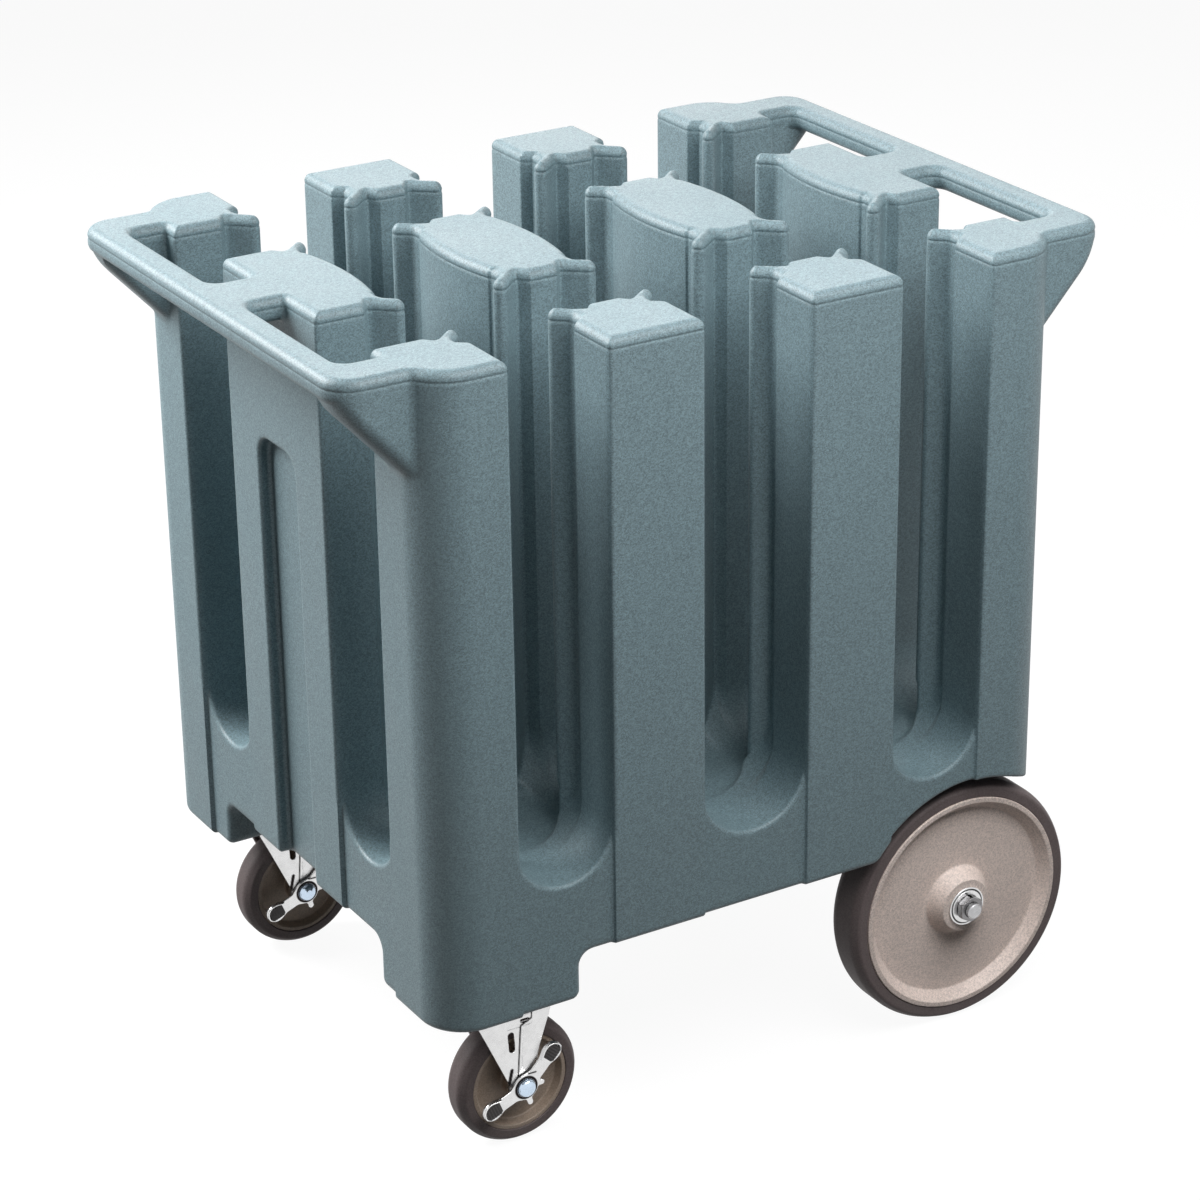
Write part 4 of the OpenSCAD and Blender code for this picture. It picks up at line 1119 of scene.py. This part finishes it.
def metal(name, colour, roughness, spangle, tarnish, thread=None, shaded=False):
    """A metal finish; thread is a screw thread's start and half pitch, shaded paints the stored shade on as a dark
    colour.
    """
    made, tree, shader = new_material(name, colour)
    values = {"Colour": (*colour, 1), "Spangle": spangle, "Tarnish": tarnish, "Roughness": roughness}
    surface = put(tree, "ShaderNodeGroup", values, node_tree=tree_named("MetalFinish", metal_group))
    shade, height, depth = surface.outputs["Colour"], surface.outputs["Height"], SCRATCH_DEPTH
    if thread:
        height, depth = thread_height(tree, *thread), thread[1]
    # Painted shade: mixes the shade stored at the points into the colour as dark lines.
    if shaded:
        painted_shade_mask = put(tree, "ShaderNodeAttribute", attribute_name="shade").outputs["Fac"]
        values = {0: painted_shade_mask, 6: shade, 7: (*PAINTED_SHADE_LINE, 1)}
        shade = put(tree, "ShaderNodeMix", values, data_type="RGBA").outputs[2]
    tree.links.new(shade, shader.inputs["Base Color"])
    tree.links.new(surface.outputs["Roughness"], shader.inputs["Roughness"])
    shader.inputs["Metallic"].default_value = 1.0
    raise_bump(tree, shader, height, depth, 0.5)
    return made


def finish(kind):
    """One of the cart's finishes, by its short name, built the first time it is asked for."""
    maker, name, colour, *settings = FINISHES[kind]
    colour = getattr(bpy.context.scene.cart_finish, colour) if isinstance(colour, str) else colour
    return bpy.data.materials.get(name) or maker(name, colour[:], *settings)


# Plastics: roughness, grain size, bump depth, speckle, mottle, dust and gloss.
# Metals: roughness, spangle size, tarnish, and a thread's start and half pitch or none, and whether it carries
# painted shade.
FINISHES = {
    "body": (plastic, "Body plastic", "body", 0.46, 0.0011, 0.0003, 0.62, 0.12, 0.06, 0.5),
    "disc": (plastic, "Wheel disc plastic", "disc", 0.5, 0.0012, 0.00012, 0.4, 0.1, 0.08, 0.5),
    "core": (plastic, "Caster core plastic", "core", 0.45, 0.001, 0.00008, 0.35, 0.12, 0.1, 0.5),
    "rubber": (plastic, "Tyre rubber", "rubber", 0.6, 0.0009, 0.00008, 0.4, 0.2, 0.08, 0.4),
    "pad": (plastic, "Pedal pad rubber", "pad", 0.55, 0.0006, 0.00006, 0.3, 0.2, 0.1, 0.5),
    # Dark rubber of the washer's seal band, which also paints the shade in the seal groove and at the collar step.
    "seal": (plastic, "Bearing seal rubber", (0.02, 0.02, 0.021), 0.5, 0.0006, 0.00003, 0.2, 0.2, 0.0, 0.5),
    "zinc": (metal, "Bright zinc plate", "zinc", 0.26, 0.005, 0.1),
    # Pressed zinc plate that carries the painted shade lines stored on the fork and pedal.
    "pressed": (metal, "Pressed zinc plate", "zinc", 0.26, 0.005, 0.12, None, True),
    "cap": (metal, "Bolt cap zinc", (0.62, 0.74, 0.88), 0.2, 0.006, 0.05),
    "steel": (metal, "Plain steel", "steel", 0.33, 0.002, 0.25),
    "nut": (metal, "Axle nut steel", (0.26, 0.255, 0.26), 0.24, 0.002, 0.3),
    "washer": (metal, "Washer zinc", "zinc", 0.3, 0.003, 0.12),
    "axle": (metal, "Axle steel", "steel", 0.28, 0.002, 0.2, (NUT_OUT, THREAD_HALF_PITCH)),
    "brass": (metal, "Insert brass", "brass", 0.35, 0.002, 0.2),
}


def dress(kind, *nodes):
    """Gives CAD nodes that stay in view one of the cart's finishes."""
    for name in nodes:
        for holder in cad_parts[name].material_slots:
            holder.material = finish(kind)


def stand_in(piece, kind, body, slot, *nodes):
    """Finishes a piece, lets it ride on its body and stand for its CAD nodes."""
    if not piece.data.materials:
        piece.data.materials.append(finish(kind))
    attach(piece, body)
    if nodes:
        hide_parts(*nodes)


class CART_OT_body(bpy.types.Operator):
    """Builds the moulded body with its posts, slots, ribs, wells and handles"""

    bl_idname = "cart.body"
    bl_label = "Moulded body"

    def execute(self, context):
        body, rib, under = context.scene.cart_body, context.scene.cart_ribs, context.scene.cart_under
        handle = context.scene.cart_handles
        coarse, fine, edge = BODY_STEPS
        zone, past = EDGE_ZONE, rib.notch_depth + EDGE_ZONE
        mid, outer, end = body.mid_slot / 2, body.mid_slot / 2 + body.post, body.body_length / 2
        xs = both_sides(
            grid_lines(
                0.0,
                (mid - zone, coarse),
                (mid + past, fine),
                (outer - past, fine),
                (outer + zone, fine),
                (outer + body.outer_slot - zone, coarse),
                (outer + body.outer_slot + past, fine),
                (end - zone, fine * 1.3),
                (end + zone, edge),
                (BODY_HIGH.x - BAR_ZONE, coarse * 0.7),
                (BODY_HIGH.x + GRID_PAST, fine),
            )
        )
        mid, side = body.mid_row / 2, body.body_width / 2
        far = mid + body.end_slot
        ys = both_sides(
            grid_lines(
                0.0,
                (mid - past, coarse),
                (mid + zone, fine),
                (far - zone, fine * 1.5),
                (far + past, fine),
                (side - handle.arm_set_in - 2 * zone, fine * 1.4),
                (side - handle.arm_set_in + zone, fine),
                (side - zone, fine * 1.4),
                (side + GRID_PAST, edge),
            )
        )
        zs = grid_lines(
            BODY_LOW.z - GRID_BELOW,
            (under.pod + BAR_ZONE, fine * 1.2),
            (body.floor - zone, coarse),
            (body.floor + body.end_slot / 2 + zone, fine * 1.3),
            (handle.channel_top - CHANNEL_ZONE, coarse * 2.2),
            (body.top - handle.gusset, coarse),
            (body.top - TOP_ZONE, fine * 1.6),
            (body.top + GRID_PAST, edge),
        )
        piece = show("Moulded_body", moulded("Moulded_body", body_shape, xs, ys, zs, BODY_TRIANGLES))
        stand_in(piece, "body", "cart", "body_plastic", "body_moulding")
        return {"FINISHED"}


class CART_OT_rear_wheels(bpy.types.Operator):
    """Builds the discs and tyres of the two large rear wheels"""

    bl_idname = "cart.rear_wheels"
    bl_label = "Rear wheels"

    def execute(self, context):
        wheel = context.scene.cart_wheels
        back = wheel.lip
        disc = [
            (wheel.bore, -wheel.hub_in, 0.0006),
            (wheel.hub_back, -wheel.hub_in, 0.0015),
            (wheel.hub_back, wheel.disc_in, 0.003),
            (wheel.rim - wheel.rim_wall, wheel.disc_in, 0.003),
            (wheel.rim - wheel.rim_wall, -back, 0.0012),
            (wheel.rim, -back, 0.0006),
            (wheel.rim, wheel.lip, 0.0010),
            (wheel.rim - wheel.lip_width, wheel.lip, 0.0014),
            (wheel.rim - wheel.lip_width - wheel.slope, wheel.disc_out, 0.0025),
            (wheel.hub_foot, wheel.disc_out, 0.0028),
            (wheel.hub_front, wheel.hub_out, 0.0014),
            (wheel.bore, wheel.hub_out, 0.0008),
        ]
        tyre = tyre_section(TYRE_LOW, TYRE_HIGH, wheel.rim, 0.0045, 0.62, (0.0015, 0.004, 0.012))
        for side, outwards in SIDES.items():
            place = (AXLE.x, outwards * WHEEL_PLANE, AXLE.z)
            finish_of = finish("disc")
            piece = swept_ring(f"Rear_{side}_disc", disc, wheel_turn(outwards), place, finish_of)
            rib_depth = wheel.lip + wheel.disc_in - wheel.rim_wall
            rib_length = wheel.rim - wheel.rim_wall / 2 - wheel.hub_back
            start = slab(f"Rear_{side}_rib", (rib_length, wheel.back_rib, rib_depth + 0.001), 0.0012)
            start.transform(Matrix.Translation((0, 0, wheel.disc_in + 0.001 - (rib_depth + 0.001) / 2)))
            values = {
                "Count": wheel.back_ribs,
                "Ring Radius": wheel.hub_back + rib_length / 2,
                "Turn": wheel_turn(outwards),
                "Place": place,
                "Finish": finish_of,
            }
            ribs = grown(f"Rear_{side}_ribs", start, tree_named("RoundRow", round_row_tree), values)
            merged = joined(piece, ribs)
            stand_in(merged, "disc", f"rear_{side}_roller", "wheel_disc", f"rear_{side}_wheel")
            piece = swept_ring(f"Rear_{side}_tread", tyre, wheel_turn(outwards), place, finish("rubber"))
            stand_in(piece, "rubber", f"rear_{side}_roller", "rear_tread", f"rear_{side}_tyre")
        return {"FINISHED"}


class CART_OT_rear_fasteners(bpy.types.Operator):
    """Builds the washers and nuts on the rear axle, and finishes the axle and bearings"""

    bl_idname = "cart.rear_fasteners"
    bl_label = "Rear axle and fasteners"

    def execute(self, context):
        wheel = context.scene.cart_wheels
        low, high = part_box("rear_right_outer_washer")
        thick = high.y - low.y
        rim, groove, face = 0.72 * thick, 0.4 * thick, 0.8 * thick
        bore = AXLE_RADIUS + CLEARANCE
        washer = [
            (bore, 0.0, 0.0003),
            (wheel.washer, 0.0, 0.0003),
            (wheel.washer, rim, 0.0006),
            (wheel.seal + 0.0009, rim, 0.0002),
            (wheel.seal + 0.0005, groove, 0.0002),
            (wheel.seal - 0.0005, groove, 0.0002),
            (wheel.seal - 0.0009, thick, 0.0005),
            (wheel.collar + 0.0004, thick, 0.0005),
            (wheel.collar, face, 0.0002),
            (bore, face, 0.0002),
        ]
        for side, outwards in SIDES.items():
            place = (AXLE.x, outwards * low.y, AXLE.z)
            piece = swept_ring(f"Rear_{side}_washer", washer, wheel_turn(outwards), place, finish("washer"))
            # Partly painted shade: the dark band in the seal groove is the seal's rubber, widened to carry the
            # groove's shade, and the thin dark ring at the collar's step is painted shade.
            piece.data.materials.append(finish("seal"))
            for polygon in piece.data.polygons:
                away = math.hypot(polygon.center.x - AXLE.x, polygon.center.z - AXLE.z)
                dark = abs(away - wheel.seal) < wheel.seal_half or abs(away - wheel.collar) < wheel.seal_half / 2
                polygon.material_index = int(dark)
            stand_in(piece, "washer", "cart", "washer_steel", f"rear_{side}_outer_washer")
            mesh = cast(f"Rear_{side}_axle_nut", nut_shape, *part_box(f"rear_{side}_nut"), *NUT_MESH)
            piece = show(f"Rear_{side}_axle_nut", mesh)
            stand_in(piece, "nut", "cart", "nut_steel", f"rear_{side}_nut")
        dress("axle", "rear_axle")
        dress("steel", "rear_left_bearing", "rear_right_bearing", "rear_left_inner_washer", "rear_right_inner_washer")
        return {"FINISHED"}


class CART_OT_caster_forks(bpy.types.Operator):
    """Builds the pressed zinc forks of the two swivel casters, and finishes their swivels"""

    bl_idname = "cart.caster_forks"
    bl_label = "Caster forks"

    def execute(self, context):
        mesh = cast("Front_left_fork_piece", fork_shape, *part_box("front_left_fork"), *FORK_MESH)
        # Stores the painted shade lines on the fork's points.
        store_painted_shade(mesh, fork_painted_shade)
        for side, outwards in SIDES.items():
            shape = mesh if outwards < 0 else shifted("Front_right_fork_piece", mesh, ACROSS)
            piece = show(f"Front_{side}_fork_piece", shape)
            stand_in(piece, "pressed", f"front_{side}_swivel", "zinc_steel", f"front_{side}_fork")
            dress("zinc", f"front_{side}_plate")
            dress("steel", *(f"front_{side}_{name}" for name in ("kingpin", "nut", "brake_shoe", "bush")))
            dress("brass", f"front_{side}_inserts")
        return {"FINISHED"}


class CART_OT_caster_wheels(bpy.types.Operator):
    """Builds the cores and tyres of the two caster wheels"""

    bl_idname = "cart.caster_wheels"
    bl_label = "Caster wheels"

    def execute(self, context):
        caster = context.scene.cart_caster
        inside = caster.rim - caster.lip_width
        side_of_core = [
            (caster.rim, caster.lip, 0.0007),
            (inside, caster.lip, 0.0013),
            (inside - caster.slope, caster.disc, 0.0022),
            (caster.hub_radius, caster.disc, 0.002),
            (caster.hub_radius, caster.hub, 0.0012),
            (caster.bore, caster.hub, 0.0005),
        ]
        core = mirrored(side_of_core)[::-1]
        tyre = tyre_section(CASTER_LOW, CASTER_HIGH, caster.rim, 0.0055, 0.55, (0.0012, 0.0035, 0.010))
        for side, outwards in SIDES.items():
            place = (CASTER_AXLE.x, CASTER_AXLE.y if outwards < 0 else CASTER_AXLE.y + ACROSS.y, CASTER_AXLE.z)
            piece = swept_ring(f"Front_{side}_core", core, wheel_turn(1), place, finish("core"), CASTER_SEGMENTS)
            stand_in(piece, "core", f"front_{side}_roller", "caster_core", f"front_{side}_wheel")
            piece = swept_ring(f"Front_{side}_tread", tyre, wheel_turn(1), place, finish("rubber"), CASTER_SEGMENTS)
            stand_in(piece, "rubber", f"front_{side}_roller", "caster_tread", f"front_{side}_tyre")
        return {"FINISHED"}


class CART_OT_brake_pedals(bpy.types.Operator):
    """Builds the rocker pedals of the caster brakes with their pads"""

    bl_idname = "cart.brake_pedals"
    bl_label = "Brake pedals"

    def execute(self, context):
        pedal = cast("Front_left_pedal_piece", pedal_shape, *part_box("front_left_pedal"), *PEDAL_MESH)
        # Stores the painted shade round the bolt cap and beside the tab on the pedal's points.
        store_painted_shade(pedal, pedal_painted_shade)
        low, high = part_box("front_left_pedal_pads")
        pads = cast("Front_left_pads", pad_shape, low - PADS_PAST, high + PADS_PAST, *PAD_MESH)
        for side, outwards in SIDES.items():
            shape = pedal if outwards < 0 else shifted("Front_right_pedal_piece", pedal, ACROSS)
            piece = show(f"Front_{side}_pedal_piece", shape)
            stand_in(piece, "pressed", f"front_{side}_rocker", "zinc_steel", f"front_{side}_pedal")
            shape = pads if outwards < 0 else shifted("Front_right_pads", pads, ACROSS)
            piece = show(f"Front_{side}_pads", shape)
            stand_in(piece, "pad", f"front_{side}_rocker", "pad_rubber", f"front_{side}_pedal_pads")
        return {"FINISHED"}


class CART_OT_caster_fasteners(bpy.types.Operator):
    """Builds the mounting bolts, the ball rings and the domed axle bolts of the casters"""

    bl_idname = "cart.caster_fasteners"
    bl_label = "Caster fasteners"

    def execute(self, context):
        caster = context.scene.cart_caster
        head = caster.leg_in + caster.sheet + caster.pedal_gap + caster.pedal + caster.cap_gap
        for side, outwards in SIDES.items():
            offset = Vector((0, 0, 0)) if outwards < 0 else ACROSS
            low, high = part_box(f"front_{side}_mount_bolts")
            bolt = hexagon_bolt(f"Front_{side}_bolt", BOLT_FLATS, BOLT_HEAD, BOLT_SHANK, high.z - low.z)
            values = {
                "Length": high.x - low.x - 2 * BOLT_FLATS / math.sqrt(3),
                "Width": high.y - low.y - BOLT_FLATS,
                "Place": (SWIVEL.x, SWIVEL.y + offset.y, low.z),
                "Finish": finish("steel"),
            }
            piece = grown(f"Front_{side}_bolts", bolt, tree_named("FourCorners", four_corner_tree), values)
            piece.data.set_sharp_from_angle(angle=SHARP)
            stand_in(piece, "steel", "cart", "bolt_steel", f"front_{side}_mount_bolts")

            low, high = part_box(f"front_{side}_balls")
            ball = bpy.data.meshes.new(f"Front_{side}_ball")
            build = bmesh.new()
            bmesh.ops.create_uvsphere(build, u_segments=20, v_segments=12, radius=(high.z - low.z) / 2)
            build.to_mesh(ball)
            build.free()
            values = {
                "Count": BALLS,
                "Ring Radius": (high.x - low.x) / 2 - (high.z - low.z) / 2,
                "Place": (SWIVEL.x, SWIVEL.y + offset.y, (low.z + high.z) / 2),
                "Finish": finish("steel"),
            }
            piece = grown(f"Front_{side}_ball_ring", ball, tree_named("RoundRow", round_row_tree), values)
            stand_in(piece, "steel", f"front_{side}_swivel", "ball_steel", f"front_{side}_balls")

            low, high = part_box(f"front_{side}_axle_bolt")
            end = high.y - CASTER_AXLE.y - offset.y
            shank = BOLT_RADIUS - CLEARANCE
            axle = [
                (0.0, -head - caster.cap_height, 0.0),
                (caster.cap * 0.42, -head - caster.cap_height, 0.003),
                (caster.cap * 0.88, -head - caster.cap_height * 0.62, 0.004),
                (caster.cap, -head - caster.cap_height * 0.2, 0.0012),
                (caster.cap, -head, 0.0005),
                (shank, -head, 0.0003),
                (shank, end, 0.0008),
                (0.0, end, 0.0),
            ]
            place = (CASTER_AXLE.x, CASTER_AXLE.y + offset.y, CASTER_AXLE.z)
            piece = swept_ring(f"Front_{side}_axle_piece", axle, wheel_turn(1), place, finish("cap"), BOLT_SEGMENTS)
            stand_in(piece, "cap", f"front_{side}_swivel", "bolt_steel", f"front_{side}_axle_bolt")
        return {"FINISHED"}


class CART_OT_stage(bpy.types.Operator):
    """Builds the pale floor, the soft studio light and the camera"""

    bl_idname = "cart.stage"
    bl_label = "Stage"

    def execute(self, context):
        pale = context.scene.cart_finish.floor[:]
        made, tree, shader = new_material("Pale floor", pale)
        seen, plain = rays_of(tree)
        values = {"Value": seen["Is Camera Ray"], "To Min": FLOOR_BOUNCE, "To Max": FLOOR_SHADOW * pale[0]}
        grey = put(tree, "ShaderNodeMapRange", values).outputs[0]
        grey = put(tree, "ShaderNodeBsdfDiffuse", {"Color": grey})
        glow = put(tree, "ShaderNodeEmission", {"Strength": maths(tree, "MULTIPLY", plain, FLOOR_GLOW)})
        both = put(tree, "ShaderNodeAddShader", {0: grey.outputs[0], 1: glow.outputs[0]})
        tree.links.new(both.outputs[0], tree.nodes["Material Output"].inputs["Surface"])
        tree.nodes.remove(shader)
        mesh = bpy.data.meshes.new("Floor")
        corners = [(x * FLOOR_REACH, y * FLOOR_REACH, 0) for x, y in ((-1, -1), (1, -1), (1, 1), (-1, 1))]
        mesh.from_pydata(corners, [], [(0, 1, 2, 3)])
        mesh.materials.append(made)
        show("Floor", mesh)

        world = bpy.data.worlds.new("Studio")
        context.scene.world = world
        world.use_nodes = True
        tree = world.node_tree
        values = {"Value": rays_of(tree)[1], "To Min": WORLD_LIGHT, "To Max": 1.0}
        strength = put(tree, "ShaderNodeMapRange", values)
        tree.links.new(strength.outputs[0], tree.nodes["Background"].inputs["Strength"])
        tree.nodes["Background"].inputs["Color"].default_value = (1, 1, 1, 1)

        for name, place, target, size, power in LAMPS:
            lamp = bpy.data.lights.new(name, "AREA")
            lamp.shape = "RECTANGLE"
            lamp.size, lamp.size_y = size
            lamp.energy = power
            holder = bpy.data.objects.new(name, lamp)
            holder.visible_camera = False
            holder.location = place
            aim = Vector(target) - Vector(place)
            holder.rotation_euler = aim.to_track_quat("-Z", "Y").to_euler()
            context.scene.collection.objects.link(holder)

        lens = bpy.data.cameras.new("Camera")
        lens.lens = CAMERA["lens"]
        lens.sensor_width = 36.0
        lens.clip_end = 60.0
        holder = bpy.data.objects.new("Camera", lens)
        yaw, pitch, roll = (math.radians(CAMERA[key]) for key in ("yaw", "pitch", "roll"))
        ahead = Vector((-math.sin(yaw) * math.cos(pitch), math.cos(yaw) * math.cos(pitch), -math.sin(pitch)))
        right = Vector((math.cos(yaw), math.sin(yaw), 0))
        up = right.cross(ahead)
        across = math.cos(roll) * right + math.sin(roll) * up
        upright = -math.sin(roll) * right + math.cos(roll) * up
        turn = Matrix((across, upright, -ahead)).transposed()
        holder.matrix_world = Matrix.Translation(CAMERA["place"]) @ turn.to_4x4()
        context.scene.collection.objects.link(holder)
        context.scene.camera = holder
        context.scene.view_settings.view_transform = "Standard"
        return {"FINISHED"}


class CART_PT_panel(bpy.types.Panel):
    """The cart's operators and sizes"""

    bl_idname = "CART_PT_panel"
    bl_label = "Plate dispenser cart"
    bl_space_type = "VIEW_3D"
    bl_region_type = "UI"
    bl_category = "Cart"

    def draw(self, context):
        for operator in OPERATORS:
            self.layout.operator(operator.bl_idname)
        for name, group in GROUPS.items():
            box = self.layout.box()
            box.label(text=group.__doc__)
            for prop in group.__annotations__:
                box.prop(getattr(context.scene, name), prop)


GROUPS = {
    "cart_body": CartBodySizes,
    "cart_ribs": CartRibSizes,
    "cart_handles": CartHandleSizes,
    "cart_under": CartUnderSizes,
    "cart_wheels": CartWheelSizes,
    "cart_caster": CartCasterSizes,
    "cart_finish": CartFinish,
}
OPERATORS = (
    CART_OT_body,
    CART_OT_rear_wheels,
    CART_OT_rear_fasteners,
    CART_OT_caster_forks,
    CART_OT_caster_wheels,
    CART_OT_brake_pedals,
    CART_OT_caster_fasteners,
    CART_OT_stage,
)


def register():
    """Registers the classes and puts the sizes on the scene."""
    for name, group in GROUPS.items():
        bpy.utils.register_class(group)
        setattr(bpy.types.Scene, name, bpy.props.PointerProperty(type=group))
    for made in (*OPERATORS, CART_PT_panel):
        bpy.utils.register_class(made)


def unregister():
    """Removes the classes and the sizes from the scene."""
    for made in (CART_PT_panel, *reversed(OPERATORS)):
        bpy.utils.unregister_class(made)
    for name, group in reversed(GROUPS.items()):
        delattr(bpy.types.Scene, name)
        bpy.utils.unregister_class(group)


def main():
    """Builds the cart and its stage."""
    register()
    bpy.ops.cart.body()
    bpy.ops.cart.rear_wheels()
    bpy.ops.cart.rear_fasteners()
    bpy.ops.cart.caster_forks()
    bpy.ops.cart.caster_wheels()
    bpy.ops.cart.brake_pedals()
    bpy.ops.cart.caster_fasteners()
    bpy.ops.cart.stage()


if __name__ == "__main__":
    main()
